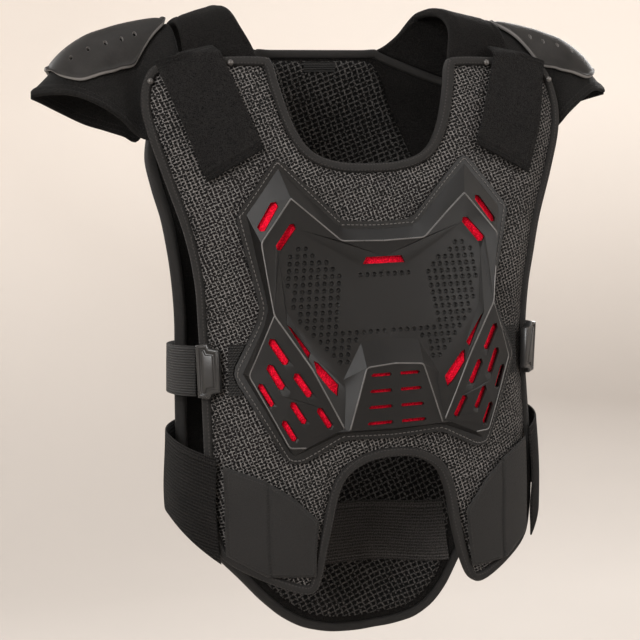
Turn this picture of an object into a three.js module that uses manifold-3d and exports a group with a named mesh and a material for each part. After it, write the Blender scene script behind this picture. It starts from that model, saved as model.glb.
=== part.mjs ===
// Motorcycle armour vest, shown worn: padded front and back panels, a moulded chest plate,
// shoulder wings with hard caps, hook-and-loop shoulder straps, side buckles and a waist belt.
// Millimetres. X runs to the wearer's left, Y to the back, Z up.
// The origin is the middle of the shoulder line, at the height where the vest sits on the shoulders.

import * as THREE from 'three';
import { mergeVertices } from 'three/addons/utils/BufferGeometryUtils.js';
import Module from 'manifold-3d';

const wasm = await Module();
wasm.setup();

// Sizes.

const FIT_GAP = 0.4;

const BACK_DROP = 608;
const TORSO_HALF_WIDTH = 180;
const TORSO_FRONT = 105;
const TORSO_BACK = 72;
const SECTION_POWER = 2.5;

const FRONT_THICKNESS = 9;
const BACK_THICKNESS = 9;
const PAD_THICKNESS = 4;
const BINDING_WIDTH = 8;
const BINDING_PROUD = 1;

const BACK_HALF_WIDTH = 187;
const BACK_TOP = 18;
const BACK_LENGTH = BACK_DROP - BACK_TOP;

const FRONT_HALF_WIDTH = 206;
const FRONT_TOP = 41;
const FRONT_LENGTH = 494;

const PLATE_HALF_WIDTH = 142;
const PLATE_HEIGHT = 276;
const PLATE_TOP = 135;
const PLATE_WALL = 3;
const PLATE_RELIEF = 18;
const FLANGE_WIDTH = 7;
const PLATE_SEAT = 1.2;
const FLANGE_HEIGHT = 2.5;
const SLOT_RECESS = 1.2;
const LINER_THICKNESS = 1;
const LINER_INSET = 13.5;
const LINER_GAP = 1.9;

const YOKE_THICKNESS = 8;
const YOKE_TOP = 22;
const YOKE_CREST_X = 115;
const YOKE_OUTER_X = 165;
const SHOULDER_Y = 3;
const YOKE_SET_BACK = 38;
const YOKE_NECK_X = 112;
const YOKE_DROOP = 0.38;

const WING_THICKNESS = 4;
const WING_REACH = 297;
const WING_DEEP = 129;

const CAP_THICKNESS = 3;
const CAP_INNER_X = 168;
const CAP_LENGTH = 111;
const CAP_HALF_DEPTH = 38;
const CAP_LIFT = 4;
const CAP_SEAT = 1.4;
const CAP_HOLE_LENGTH = 5.5;
const CAP_HOLE_WIDTH = 3;

const STRAP_THICKNESS = 2.6;
const RIVET_RADIUS = 3;
const RIVET_HEIGHT = 2.2;

const WEB_WIDTH = 46;
const WEB_THICKNESS = 2;
const BUCKLE_LENGTH = 20;
const BUCKLE_THICKNESS = 7;
const SIDE_STRAP_DROP = 323;

const BELT_TOP_SHARE = 0.674;
const BELT_FOOT_SHARE = 0.93;
const BELT_DIP = 28;
const BELT_RISE = 44;
const BELT_THICKNESS = 2.2;
const FLAP_THICKNESS = 3;
const BAND_WIDTH = 60;
const BAND_THICKNESS = 2.4;
const BAND_DROP = 508;
const BAND_TURN = 36;

const SWAY_OUT = 14;
const SWAY_HEM = 8;
const SWAY_LOW = 10;

const LABEL_WIDTH = 34;
const LABEL_HEIGHT = 10;
const LABEL_THICKNESS = 0.8;

// Materials.

const material = (color, roughness, metalness = 0) =>
  new THREE.MeshStandardMaterial({ color, roughness, metalness });

const looks = {
  mesh: material(0x1b1b1c, 0.9),
  fabric: material(0x131313, 0.85),
  plate: material(0x1c1c1e, 0.4),
  red: material(0xd0101c, 0.7),
  loop: material(0x262628, 0.95),
  elastic: material(0x121213, 0.8),
  leather: material(0x202022, 0.6),
  cap: material(0x3a3a3d, 0.45),
  label: material(0x0e0e0e, 0.7),
  steel: material(0x9a9a9c, 0.3, 0.9),
};

// Tools for closed solids.

// A closed solid between two grids of points, `outer` and `inner`, both functions of u and v in 0..1.
function slab(outer, inner, columns, rows) {
  const positions = [];
  const triangles = [];
  for (const face of [outer, inner]) {
    for (let j = 0; j <= rows; j += 1) {
      for (let i = 0; i <= columns; i += 1) {
        positions.push(...face(i / columns, j / rows).toArray());
      }
    }
  }
  const layer = (columns + 1) * (rows + 1);
  const at = (i, j, k) => k * layer + j * (columns + 1) + i;
  const quad = (a, b, c, d) => triangles.push(a, b, c, a, c, d);
  for (let j = 0; j < rows; j += 1) {
    for (let i = 0; i < columns; i += 1) {
      quad(at(i, j, 0), at(i + 1, j, 0), at(i + 1, j + 1, 0), at(i, j + 1, 0));
      quad(at(i, j, 1), at(i, j + 1, 1), at(i + 1, j + 1, 1), at(i + 1, j, 1));
    }
  }
  for (let i = 0; i < columns; i += 1) {
    quad(at(i, 0, 0), at(i, 0, 1), at(i + 1, 0, 1), at(i + 1, 0, 0));
    quad(at(i, rows, 0), at(i + 1, rows, 0), at(i + 1, rows, 1), at(i, rows, 1));
  }
  for (let j = 0; j < rows; j += 1) {
    quad(at(0, j, 0), at(0, j + 1, 0), at(0, j + 1, 1), at(0, j, 1));
    quad(at(columns, j, 0), at(columns, j, 1), at(columns, j + 1, 1), at(columns, j + 1, 0));
  }
  return outward(positions, triangles);
}

// Merges equal points and turns the faces outward.
function outward(positions, triangles) {
  const geometry = new THREE.BufferGeometry();
  geometry.setAttribute('position', new THREE.Float32BufferAttribute(positions, 3));
  geometry.setIndex(triangles);
  const merged = mergeVertices(geometry, 1e-4);
  const index = Array.from(merged.index.array);
  const kept = [];
  for (let i = 0; i < index.length; i += 3) {
    const [a, b, c] = [index[i], index[i + 1], index[i + 2]];
    if (a !== b && b !== c && c !== a) {
      kept.push(a, b, c);
    }
  }
  if (volume(merged, kept) < 0) {
    for (let i = 0; i < kept.length; i += 3) {
      [kept[i + 1], kept[i + 2]] = [kept[i + 2], kept[i + 1]];
    }
  }
  merged.setIndex(kept);
  return merged;
}

function volume(geometry, index) {
  const place = geometry.attributes.position;
  const corner = (k) => new THREE.Vector3().fromBufferAttribute(place, index[k]);
  let sum = 0;
  for (let i = 0; i < index.length; i += 3) {
    sum += corner(i).dot(corner(i + 1).cross(corner(i + 2)));
  }
  return sum / 6;
}

function toSolid(geometry) {
  const source = geometry.clone();
  source.deleteAttribute('normal');
  source.deleteAttribute('uv');
  const merged = mergeVertices(source, 1e-4);
  return new wasm.Manifold(new wasm.Mesh({
    numProp: 3,
    vertProperties: new Float32Array(merged.attributes.position.array),
    triVerts: new Uint32Array(merged.index.array),
  }));
}

function toGeometry(solid) {
  const mesh = solid.getMesh();
  const geometry = new THREE.BufferGeometry();
  geometry.setAttribute('position', new THREE.Float32BufferAttribute(mesh.vertProperties, 3));
  geometry.setIndex(Array.from(mesh.triVerts));
  return geometry;
}

// A prism that stands on an outline in the X-Z plane and runs along Y.
function prism(outline, yStart, yEnd) {
  const shape = new THREE.Shape(outline.map((p) => new THREE.Vector2(p.x, p.z)));
  const geometry = new THREE.ExtrudeGeometry(shape, { depth: yEnd - yStart, bevelEnabled: false });
  geometry.rotateX(Math.PI / 2);
  geometry.translate(0, yEnd, 0);
  return toSolid(geometry);
}

// Each corner of an outline, moved inwards by `distance` (outwards when it is negative).
function shifted(outline, distance) {
  const count = outline.length;
  const area = outline.reduce((sum, p, i) => {
    const q = outline[(i + 1) % count];
    return sum + p.x * q.z - q.x * p.z;
  }, 0);
  const side = Math.sign(area);
  return outline.map((p, i) => {
    const before = outline[(i + count - 1) % count];
    const after = outline[(i + 1) % count];
    const a = new THREE.Vector2(p.x - before.x, p.z - before.z).normalize();
    const b = new THREE.Vector2(after.x - p.x, after.z - p.z).normalize();
    const turn = Math.max(1 + a.dot(b), 0.5);
    return {
      x: p.x - (side * distance * (a.y + b.y)) / turn,
      z: p.z + (side * distance * (a.x + b.x)) / turn,
    };
  });
}

// The same outline, moved inwards. An edge that is too short to follow shrinks to a corner.
function inset(outline, distance) {
  let points = outline;
  for (;;) {
    const count = points.length;
    const moved = shifted(points, distance);
    const turnedOver = points.findIndex((p, i) => {
      const j = (i + 1) % count;
      const before = new THREE.Vector2(points[j].x - p.x, points[j].z - p.z);
      const after = new THREE.Vector2(moved[j].x - moved[i].x, moved[j].z - moved[i].z);
      return before.dot(after) <= 0;
    });
    if (turnedOver < 0) {
      return moved;
    }
    points = withoutEdge(points, turnedOver);
  }
}

// An outline with one short edge taken out: its two neighbours are lengthened until they meet.
function withoutEdge(points, edge) {
  const count = points.length;
  const [a, b, c, d] = [-1, 0, 1, 2].map((k) => points[(edge + k + count) % count]);
  const run = { x: b.x - a.x, z: b.z - a.z };
  const back = { x: c.x - d.x, z: c.z - d.z };
  const cross = run.x * back.z - run.z * back.x;
  const reach = ((d.x - a.x) * back.z - (d.z - a.z) * back.x) / cross;
  const meeting = { x: a.x + run.x * reach, z: a.z + run.z * reach };
  return points
    .map((p, i) => (i === edge ? meeting : p))
    .filter((_, i) => i !== (edge + 1) % count);
}

// A smooth closed outline through the corners of a half outline and its mirror image.
function mirroredOutline(half, step, tension) {
  const mirrored = half.filter((p) => p.x > 0).reverse().map((p) => ({ x: -p.x, z: p.z }));
  const points = [...half, ...mirrored].map((p) => new THREE.Vector3(p.x, 0, p.z));
  const curve = new THREE.CatmullRomCurve3(points, true, 'catmullrom', tension);
  const count = Math.round(curve.getLength() / step);
  return curve.getSpacedPoints(count).slice(0, count).map((p) => ({ x: p.x, z: p.z }));
}

// Value of a column of a table at a place on its key column, along a smooth curve.
function lookUp(table, key, column, at) {
  const last = table.length - 1;
  if (at <= table[0][key]) {
    return table[0][column];
  }
  if (at >= table[last][key]) {
    return table[last][column];
  }
  const i = table.findIndex((row, k) => k < last && at < table[k + 1][key]);
  const slope = (k) => {
    const low = table[Math.max(k - 1, 0)];
    const high = table[Math.min(k + 1, last)];
    return (high[column] - low[column]) / (high[key] - low[key]);
  };
  const span = table[i + 1][key] - table[i][key];
  const t = (at - table[i][key]) / span;
  const start = table[i][column];
  const end = table[i + 1][column];
  const rise = 3 * t * t - 2 * t * t * t;
  const leave = t - 2 * t * t + t * t * t;
  const arrive = t * t * t - t * t;
  return start + (end - start) * rise + span * (slope(i) * leave + slope(i + 1) * arrive);
}

const mirrorX = (geometry) => {
  const mirrored = geometry.clone();
  mirrored.scale(-1, 1, 1);
  const index = Array.from(mirrored.index.array);
  for (let i = 0; i < index.length; i += 3) {
    [index[i + 1], index[i + 2]] = [index[i + 2], index[i + 1]];
  }
  mirrored.setIndex(index);
  return mirrored;
};

const vest = new THREE.Group();

// The vest hangs a little askew. out: how far its side at +X stands out at a height, as a share of
// SWAY_OUT. Its hem swings to +X, and that side's leg hangs lower.
const swayRows = [
  { drop: 0, out: 0.1 },
  { drop: 0.1, out: 0.4 },
  { drop: 0.18, out: 0.9 },
  { drop: 0.28, out: 1 },
  { drop: 0.37, out: 0.9 },
  { drop: 0.43, out: 0.5 },
  { drop: 0.5, out: 0 },
  { drop: 0.57, out: -0.3 },
  { drop: 0.85, out: -0.3 },
  { drop: 1, out: -0.2 },
];
const eased = (t) => {
  const share = Math.max(0, Math.min(t, 1));
  return share * share * (3 - 2 * share);
};

function askew(geometry) {
  const place = geometry.attributes.position;
  for (let i = 0; i < place.count; i += 1) {
    const x = place.getX(i);
    const drop = -place.getZ(i) / BACK_DROP;
    const out = SWAY_OUT * lookUp(swayRows, 'drop', 'out', drop) * eased((x - 60) / 130);
    const hem = SWAY_HEM * eased((drop - 0.78) / 0.18);
    const low = SWAY_LOW * eased((x - 10) / 90) * eased((drop - 0.68) / 0.16);
    place.setXYZ(i, x + out + hem, place.getY(i), place.getZ(i) - low);
  }
  return geometry;
}

function add(name, geometry, look) {
  const hung = askew(geometry.clone());
  hung.deleteAttribute('normal');
  hung.computeVertexNormals();
  const mesh = new THREE.Mesh(hung, look);
  mesh.name = name;
  vest.add(mesh);
}

function addPair(name, geometry, look) {
  add(`left_${name}`, mirrorX(geometry), look);
  add(`right_${name}`, geometry, look);
}

// The worn torso.
// Cross-sections of the outer face of the padded panels, from the shoulder line down.
// drop: share of BACK_DROP. wide, front, back: shares of the torso sizes.
// middle: how far the widest line lies behind the origin, as a share of TORSO_BACK.

const torsoSections = [
  { drop: -0.1, wide: 1.36, front: 0.5, back: 0.62, middle: 0 },
  { drop: 0.07, wide: 1.36, front: 0.67, back: 0.84, middle: -0.04 },
  { drop: 0.16, wide: 1.31, front: 0.75, back: 0.98, middle: -0.1 },
  { drop: 0.25, wide: 1.17, front: 0.81, back: 1.04, middle: -0.17 },
  { drop: 0.33, wide: 1.05, front: 0.85, back: 1.05, middle: -0.24 },
  { drop: 0.43, wide: 0.99, front: 0.9, back: 1.02, middle: -0.28 },
  { drop: 0.54, wide: 1.0, front: 0.96, back: 0.98, middle: -0.26 },
  { drop: 0.64, wide: 1.02, front: 1.0, back: 0.94, middle: -0.22 },
  { drop: 0.74, wide: 1.04, front: 0.99, back: 0.84, middle: -0.14 },
  { drop: 0.86, wide: 1.01, front: 0.9, back: 0.64, middle: -0.14 },
  { drop: 1.02, wide: 0.92, front: 0.8, back: 0.4, middle: -0.2 },
];

function section(z) {
  const read = (column) => lookUp(torsoSections, 'drop', column, -z / BACK_DROP);
  const middle = read('middle') * TORSO_BACK;
  return {
    wide: read('wide') * TORSO_HALF_WIDTH,
    middle,
    front: read('front') * TORSO_FRONT + middle,
    back: read('back') * TORSO_BACK - middle,
  };
}

// Point on the torso at an angle round it: 0 is the middle of the front, 90 degrees the
// wearer's left side, 180 the middle of the back. `grow` moves it outwards.
function torso(angle, z, grow) {
  const s = section(z);
  const sine = Math.sin(angle);
  const cosine = Math.cos(angle);
  const depth = cosine > 0 ? s.front : s.back;
  const bend = 2 / SECTION_POWER;
  return new THREE.Vector3(
    (s.wide + grow) * Math.sign(sine) * Math.abs(sine) ** bend,
    s.middle - (depth + grow) * Math.sign(cosine) * Math.abs(cosine) ** bend,
    z,
  );
}

// Depth of the torso's front (side = -1) or back (side = 1) at a place across it.
function torsoY(x, z, side, grow = 0) {
  const s = section(z);
  const depth = (side < 0 ? s.front : s.back) + grow;
  const share = Math.min(Math.abs(x) / (s.wide + grow), 1);
  return s.middle + side * depth * (1 - share ** SECTION_POWER) ** (1 / SECTION_POWER);
}

const degrees = Math.PI / 180;

// Front panel and its binding.
// Half outline: across is a share of FRONT_HALF_WIDTH, down a share of FRONT_LENGTH below FRONT_TOP.

const frontOutline = [
  { across: 0, down: 0.202 },
  { across: 0.12, down: 0.2 },
  { across: 0.22, down: 0.19 },
  { across: 0.29, down: 0.172 },
  { across: 0.34, down: 0.14 },
  { across: 0.375, down: 0.1 },
  { across: 0.405, down: 0.05 },
  { across: 0.425, down: 0.012 },
  { across: 0.47, down: 0 },
  { across: 0.7, down: 0 },
  { across: 0.91, down: 0.008 },
  { across: 0.98, down: 0.035 },
  { across: 1, down: 0.085 },
  { across: 0.975, down: 0.14 },
  { across: 0.915, down: 0.22 },
  { across: 0.84, down: 0.32 },
  { across: 0.805, down: 0.41 },
  { across: 0.8, down: 0.5 },
  { across: 0.805, down: 0.62 },
  { across: 0.81, down: 0.74 },
  { across: 0.81, down: 0.83 },
  { across: 0.79, down: 0.89 },
  { across: 0.74, down: 0.93 },
  { across: 0.6, down: 0.968 },
  { across: 0.46, down: 0.995 },
  { across: 0.39, down: 0.995 },
  { across: 0.35, down: 0.965 },
  { across: 0.3, down: 0.885 },
  { across: 0.265, down: 0.82 },
  { across: 0.22, down: 0.782 },
  { across: 0.14, down: 0.76 },
  { across: 0.06, down: 0.752 },
  { across: 0, down: 0.751 },
];

const frontHalf = frontOutline.map((p) => ({
  x: p.across * FRONT_HALF_WIDTH,
  z: -FRONT_TOP - p.down * FRONT_LENGTH,
}));
const frontEdge = mirroredOutline(frontHalf, 26, 0.5);

// A padded sheet round the front of the torso, between two distances from its outer face.
function frontSheet(near, far, columns, rows) {
  const place = (grow) => (u, v) => {
    const z = 5 - FRONT_TOP - (FRONT_LENGTH + 10) * v;
    return torso((u - 0.5) * 176 * degrees, z, grow);
  };
  return toSolid(slab(place(far), place(near), columns, rows));
}

const frontPrism = (distance) => prism(inset(frontEdge, distance), -TORSO_FRONT * 1.5, 0);

const frontPanel = frontSheet(-FRONT_THICKNESS, 0, 18, 9)
  .intersect(frontPrism(BINDING_WIDTH + FIT_GAP));
add('front_panel', toGeometry(frontPanel), looks.mesh);

const frontRim = frontSheet(-FRONT_THICKNESS - BINDING_PROUD, BINDING_PROUD, 18, 9)
  .intersect(frontPrism(0))
  .subtract(frontPrism(BINDING_WIDTH));
add('front_binding', toGeometry(frontRim), looks.fabric);

// Back panel, its binding and its inner pad.
// Half outline: across is a share of BACK_HALF_WIDTH, down a share of BACK_LENGTH below BACK_TOP.
// The straight run from the neck corner to the armhole is the seam to the yoke.

const backOutline = [
  { across: 0, down: 0 },
  { across: 0.15, down: 0 },
  { across: 0.27, down: 0 },
  { across: 0.34, down: -0.001 },
  { across: 0.37, down: 0.005 },
  { across: 0.6, down: 0.034 },
  { across: 0.84, down: 0.063 },
  { across: 0.88, down: 0.075 },
  { across: 0.95, down: 0.13 },
  { across: 0.98, down: 0.18 },
  { across: 0.955, down: 0.23 },
  { across: 0.92, down: 0.28 },
  { across: 0.9, down: 0.36 },
  { across: 0.9, down: 0.45 },
  { across: 0.915, down: 0.55 },
  { across: 0.92, down: 0.64 },
  { across: 0.915, down: 0.7 },
  { across: 0.885, down: 0.755 },
  { across: 0.83, down: 0.802 },
  { across: 0.75, down: 0.842 },
  { across: 0.64, down: 0.886 },
  { across: 0.545, down: 0.925 },
  { across: 0.44, down: 0.958 },
  { across: 0.32, down: 0.982 },
  { across: 0.17, down: 0.996 },
  { across: 0, down: 1 },
];

const backPlace = (p) => ({
  x: p.across * BACK_HALF_WIDTH,
  z: -BACK_TOP - p.down * BACK_LENGTH,
});
const backEdge = mirroredOutline(backOutline.map(backPlace), 30, 0.4);

function backSheet(near, far, columns, rows) {
  const place = (grow) => (u, v) => {
    const z = 12 - BACK_TOP - (BACK_LENGTH + 20) * v;
    return torso(Math.PI + (u - 0.5) * 170 * degrees, z, grow);
  };
  return toSolid(slab(place(far), place(near), columns, rows));
}

const backPrism = (distance) => prism(inset(backEdge, distance), -TORSO_BACK / 2, TORSO_BACK * 1.5);

const backPanel = backSheet(-BACK_THICKNESS, 0, 16, 10)
  .intersect(backPrism(BINDING_WIDTH + FIT_GAP));
add('back_panel', toGeometry(backPanel), looks.fabric);

const backRim = backSheet(-BACK_THICKNESS - BINDING_PROUD, BINDING_PROUD, 16, 10)
  .intersect(backPrism(0))
  .subtract(backPrism(BINDING_WIDTH));
add('back_binding', toGeometry(backRim), looks.fabric);

const padOutline = [
  { across: 0, down: 0.02 },
  { across: 0.27, down: 0.02 },
  { across: 0.35, down: 0.042 },
  { across: 0.42, down: 0.1 },
  { across: 0.58, down: 0.22 },
  { across: 0.68, down: 0.36 },
  { across: 0.7, down: 0.52 },
  { across: 0.7, down: 0.68 },
  { across: 0.64, down: 0.8 },
  { across: 0.5, down: 0.9 },
  { across: 0.28, down: 0.96 },
  { across: 0, down: 0.974 },
];
const padEdge = mirroredOutline(padOutline.map(backPlace), 30, 0.4);
const padOuter = -BACK_THICKNESS - FIT_GAP;
const padInner = padOuter - PAD_THICKNESS;
const backPad = backSheet(padInner, padOuter, 16, 10)
  .intersect(prism(padEdge, -TORSO_BACK / 2, TORSO_BACK * 1.5));
add('back_pad', toGeometry(backPad), looks.mesh);

const labelTop = BACK_TOP + 0.021 * BACK_LENGTH;
const labelPlace = (grow) => (u, v) => {
  const x = (u - 0.5) * LABEL_WIDTH;
  const z = -labelTop - LABEL_HEIGHT * v;
  return new THREE.Vector3(x, torsoY(x, z, 1, grow), z);
};
const labelOuter = padInner - FIT_GAP;
const labelInner = labelOuter - LABEL_THICKNESS;
add('neck_label', slab(labelPlace(labelOuter), labelPlace(labelInner), 4, 1), looks.label);

// Chest plate.
// Corners of the plate's facets on the wearer's left half. across: share of PLATE_HALF_WIDTH,
// down: share of PLATE_HEIGHT below PLATE_TOP, rise: share of PLATE_RELIEF above the front panel.

const plateCorners = {
  neckRidgeCentre: { across: 0, down: 0.28, rise: 0.72 },
  neckRidge: { across: 0.289, down: 0.275, rise: 0.72 },
  apex: { across: 0.602, down: 0.13, rise: 0.7 },
  ridgeCorner: { across: 0.81, down: 0.271, rise: 0.8 },
  ridgeSide: { across: 0.789, down: 0.383, rise: 0.86 },
  ridgeWaist: { across: 0.764, down: 0.507, rise: 0.92 },
  ridgeLower: { across: 0.55, down: 0.686, rise: 0.84 },
  ridgeEnd: { across: 0.352, down: 0.89, rise: 0.5 },
  slotTopCentre: { across: 0, down: 0.332, rise: 0.6 },
  slotTop: { across: 0.125, down: 0.332, rise: 0.6 },
  slotBottom: { across: 0.148, down: 0.355, rise: 0.54 },
  slotBottomCentre: { across: 0, down: 0.355, rise: 0.54 },
  fieldTopCentre: { across: 0, down: 0.37, rise: 0.5 },
  fieldTop: { across: 0.158, down: 0.37, rise: 0.5 },
  vTip: { across: 0.26, down: 0.392, rise: 0.5 },
  fieldApex: { across: 0.53, down: 0.25, rise: 0.56 },
  fieldCorner: { across: 0.697, down: 0.325, rise: 0.58 },
  fieldWaist: { across: 0.673, down: 0.498, rise: 0.6 },
  fieldBottom: { across: 0.335, down: 0.73, rise: 0.46 },
  crownTopCentre: { across: 0, down: 0.605, rise: 0.5 },
  crownTop: { across: 0.2, down: 0.613, rise: 0.5 },
  faceTopCentre: { across: 0, down: 0.685, rise: 1 },
  faceTop: { across: 0.197, down: 0.693, rise: 1 },
  faceBottom: { across: 0.325, down: 0.898, rise: 0.68 },
  faceBottomCentre: { across: 0, down: 0.9, rise: 0.7 },
  columnSide: { across: 0.322, down: 0.76, rise: 0.44 },
  wingTop: { across: 0.925, down: 0.7, rise: 0.45 },
  wingLow: { across: 0.705, down: 0.942, rise: 0.4 },
  wingFoot: { across: 0.6, down: 0.945, rise: 0.4 },
  wingHeel: { across: 0.4, down: 0.9, rise: 0.46 },
};

// Outline of the plate's half. Two of its corners have a name, because its flat parts end there.
const plateOutline = [
  { across: 0, down: 0.215 },
  { across: 0.22, down: 0.21 },
  { across: 0.265, down: 0.197 },
  { across: 0.61, down: 0.012 },
  { across: 0.65, down: 0 },
  { across: 0.69, down: 0.014 },
  { across: 0.91, down: 0.165 },
  { across: 0.93, down: 0.19 },
  { across: 0.83, down: 0.445 },
  { across: 0.82, down: 0.484, corner: 'waist' },
  { across: 0.845, down: 0.53 },
  { across: 0.99, down: 0.67 },
  { across: 1, down: 0.695 },
  { across: 0.985, down: 0.725 },
  { across: 0.74, down: 0.97 },
  { across: 0.69, down: 0.996 },
  { across: 0.6, down: 0.996 },
  { across: 0.37, down: 0.938, corner: 'foot' },
  { across: 0.31, down: 0.932 },
  { across: 0, down: 0.938 },
];

const platePlace = (p) => ({
  x: p.across * PLATE_HALF_WIDTH,
  z: -PLATE_TOP - p.down * PLATE_HEIGHT,
  rise: (p.rise ?? 0) * PLATE_RELIEF,
});
const corner = Object.fromEntries(
  Object.entries(plateCorners).map(([name, p]) => [name, platePlace(p)]),
);
const outlineHalf = plateOutline.map(platePlace);
const outlineMirror = outlineHalf.slice(1, -1).reverse().map((p) => ({ ...p, x: -p.x }));
const plateEdge = [...outlineHalf, ...outlineMirror];
const edgeHalf = outlineHalf.map((p) => ({ ...p, rise: FLANGE_HEIGHT }));
const flangeHalf = shifted(plateEdge, FLANGE_WIDTH)
  .slice(0, outlineHalf.length)
  .map((p) => ({ ...p, rise: FLANGE_HEIGHT }));
flangeHalf[0].x = 0;
flangeHalf[outlineHalf.length - 1].x = 0;

const names = (...list) => list.map((name) => corner[name]);
const flange = (from, to) => {
  const run = [];
  for (let k = from; k !== to; k += Math.sign(to - from)) {
    run.push(flangeHalf[k]);
  }
  return [...run, flangeHalf[to]];
};
const WAIST = plateOutline.findIndex((p) => p.corner === 'waist');
const FOOT = plateOutline.findIndex((p) => p.corner === 'foot');
const END = outlineHalf.length - 1;

const plateRegions = {
  flange: [...edgeHalf, ...flange(END, 0)],
  bevel: [
    ...flange(0, WAIST),
    ...names('ridgeWaist', 'ridgeSide', 'ridgeCorner', 'apex', 'neckRidge', 'neckRidgeCentre'),
  ],
  wingBevel: [
    ...flange(WAIST, FOOT),
    ...names('wingHeel', 'wingFoot', 'wingLow', 'wingTop', 'ridgeWaist'),
  ],
  wing: names('ridgeWaist', 'wingTop', 'wingLow', 'wingFoot', 'wingHeel', 'ridgeEnd', 'ridgeLower'),
  wingInner: [...names('wingHeel', 'ridgeEnd', 'faceBottom'), flangeHalf[FOOT]],
  band: names(
    'neckRidgeCentre', 'neckRidge', 'apex', 'ridgeCorner', 'ridgeSide', 'ridgeWaist', 'ridgeLower',
    'ridgeEnd', 'columnSide', 'fieldBottom', 'fieldWaist', 'fieldCorner', 'fieldApex', 'vTip',
    'fieldTop', 'fieldTopCentre', 'slotBottomCentre', 'slotBottom', 'slotTop', 'slotTopCentre',
  ),
  field: names(
    'fieldTopCentre', 'fieldTop', 'vTip', 'fieldApex', 'fieldCorner', 'fieldWaist', 'fieldBottom',
    'crownTop', 'crownTopCentre',
  ),
  crown: names('crownTopCentre', 'crownTop', 'faceTop', 'faceTopCentre'),
  columnFlank: names('crownTop', 'fieldBottom', 'columnSide', 'ridgeEnd', 'faceBottom', 'faceTop'),
  face: names('faceTopCentre', 'faceTop', 'faceBottom', 'faceBottomCentre'),
  columnFoot: [...names('faceBottomCentre', 'faceBottom'), ...flange(FOOT, END)],
};

// Slots: centre, length and width as shares of PLATE_HALF_WIDTH and PLATE_HEIGHT, and a lean in degrees
// from the vertical. `trail` is how far the recess runs on past the slot, as a share of its length.
const plateSlots = [
  { region: 'bevel', across: 0.748, down: 0.185, long: 0.112, wide: 0.05, lean: -33, trail: 0 },
  { region: 'band', across: 0.648, down: 0.254, long: 0.105, wide: 0.05, lean: -38, trail: 0 },
  { region: 'wing', across: 0.745, down: 0.625, long: 0.1, wide: 0.045, lean: 30, trail: 0.3 },
  { region: 'wing', across: 0.768, down: 0.707, long: 0.094, wide: 0.045, lean: 27, trail: 0.3 },
  { region: 'wing', across: 0.608, down: 0.738, long: 0.094, wide: 0.045, lean: 31, trail: 0.3 },
  { region: 'wing', across: 0.83, down: 0.765, long: 0.086, wide: 0.036, lean: 26, trail: 0.15 },
  { region: 'wing', across: 0.642, down: 0.828, long: 0.086, wide: 0.038, lean: 30, trail: 0.2 },
  { region: 'wing', across: 0.478, down: 0.85, long: 0.082, wide: 0.038, lean: 31, trail: 0.06 },
  { region: 'wing', across: 0.702, down: 0.885, long: 0.08, wide: 0.036, lean: 28, trail: 0.08 },
];

const plateHoles = [];
const span = (across, down) => ({
  x: across * PLATE_HALF_WIDTH,
  z: -PLATE_TOP - down * PLATE_HEIGHT,
});
for (const slot of plateSlots) {
  const centre = span(slot.across, slot.down);
  const length = (slot.long * PLATE_HEIGHT) / 2;
  const width = (slot.wide * PLATE_HALF_WIDTH) / 2;
  const lean = slot.lean * degrees;
  const turned = (a, b) => ({
    x: centre.x + a * Math.cos(lean) + b * Math.sin(lean),
    z: centre.z - a * Math.sin(lean) + b * Math.cos(lean),
  });
  const outline = (grow, low) => [
    turned(-width - grow, length * 0.8),
    turned(0, length + grow),
    turned(width + grow, length * 0.8),
    turned(width + grow, -low * 0.85),
    turned(0, -low),
    turned(-width - grow, -low * 0.85),
  ];
  plateHoles.push({
    region: slot.region,
    slot: outline(0, length),
    recess: slot.trail > 0 ? outline(0.6, length * (1 + 2 * slot.trail)) : null,
  });
}

// The long tapered slot and the leaf-shaped slot below it, corner by corner.
plateHoles.push({
  region: 'band',
  slot: [span(0.69, 0.536), span(0.66, 0.55), span(0.545, 0.635), span(0.565, 0.652)],
});
plateHoles.push({
  region: 'band',
  slot: [
    span(0.53, 0.66), span(0.5, 0.668), span(0.372, 0.745), span(0.385, 0.782), span(0.44, 0.755),
    span(0.52, 0.7),
  ],
});

const COLUMN_ROWS = 4;
for (let row = 0; row < COLUMN_ROWS; row += 1) {
  const down = 0.72 + row * 0.053;
  const grow = row * 0.012;
  plateHoles.push({
    region: 'face',
    slot: [
      span(0.035, down - 0.0055), span(0.155 + grow, down - 0.0055), span(0.17 + grow, down),
      span(0.16 + grow, down + 0.0055), span(0.035, down + 0.0055), span(0.03, down),
    ],
  });
}

// Halves long edges until the facets follow the curve of the chest. Facets that share an edge
// halve it at the same place.
function refine(facet, step) {
  const sides = facet.map((p, i) => {
    const q = facet[(i + 1) % 3];
    return Math.hypot(q.x - p.x, q.z - p.z);
  });
  const long = sides.indexOf(Math.max(...sides));
  if (sides[long] <= step) {
    return [facet];
  }
  const [a, b, c] = [0, 1, 2].map((k) => facet[(long + k) % 3]);
  const middle = { x: (a.x + b.x) / 2, z: (a.z + b.z) / 2, rise: (a.rise + b.rise) / 2 };
  return [[a, middle, c], [middle, b, c]].flatMap((part) => refine(part, step));
}

// Triangles of a region with holes, as triples of points.
function triangulate(loop, holes) {
  const flat = (list) => list.map((p) => new THREE.Vector2(p.x, p.z));
  const points = [...loop, ...holes.flat()];
  const faces = THREE.ShapeUtils.triangulateShape(flat(loop), holes.map(flat));
  return faces.map((face) => face.map((k) => points[k]));
}

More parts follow.
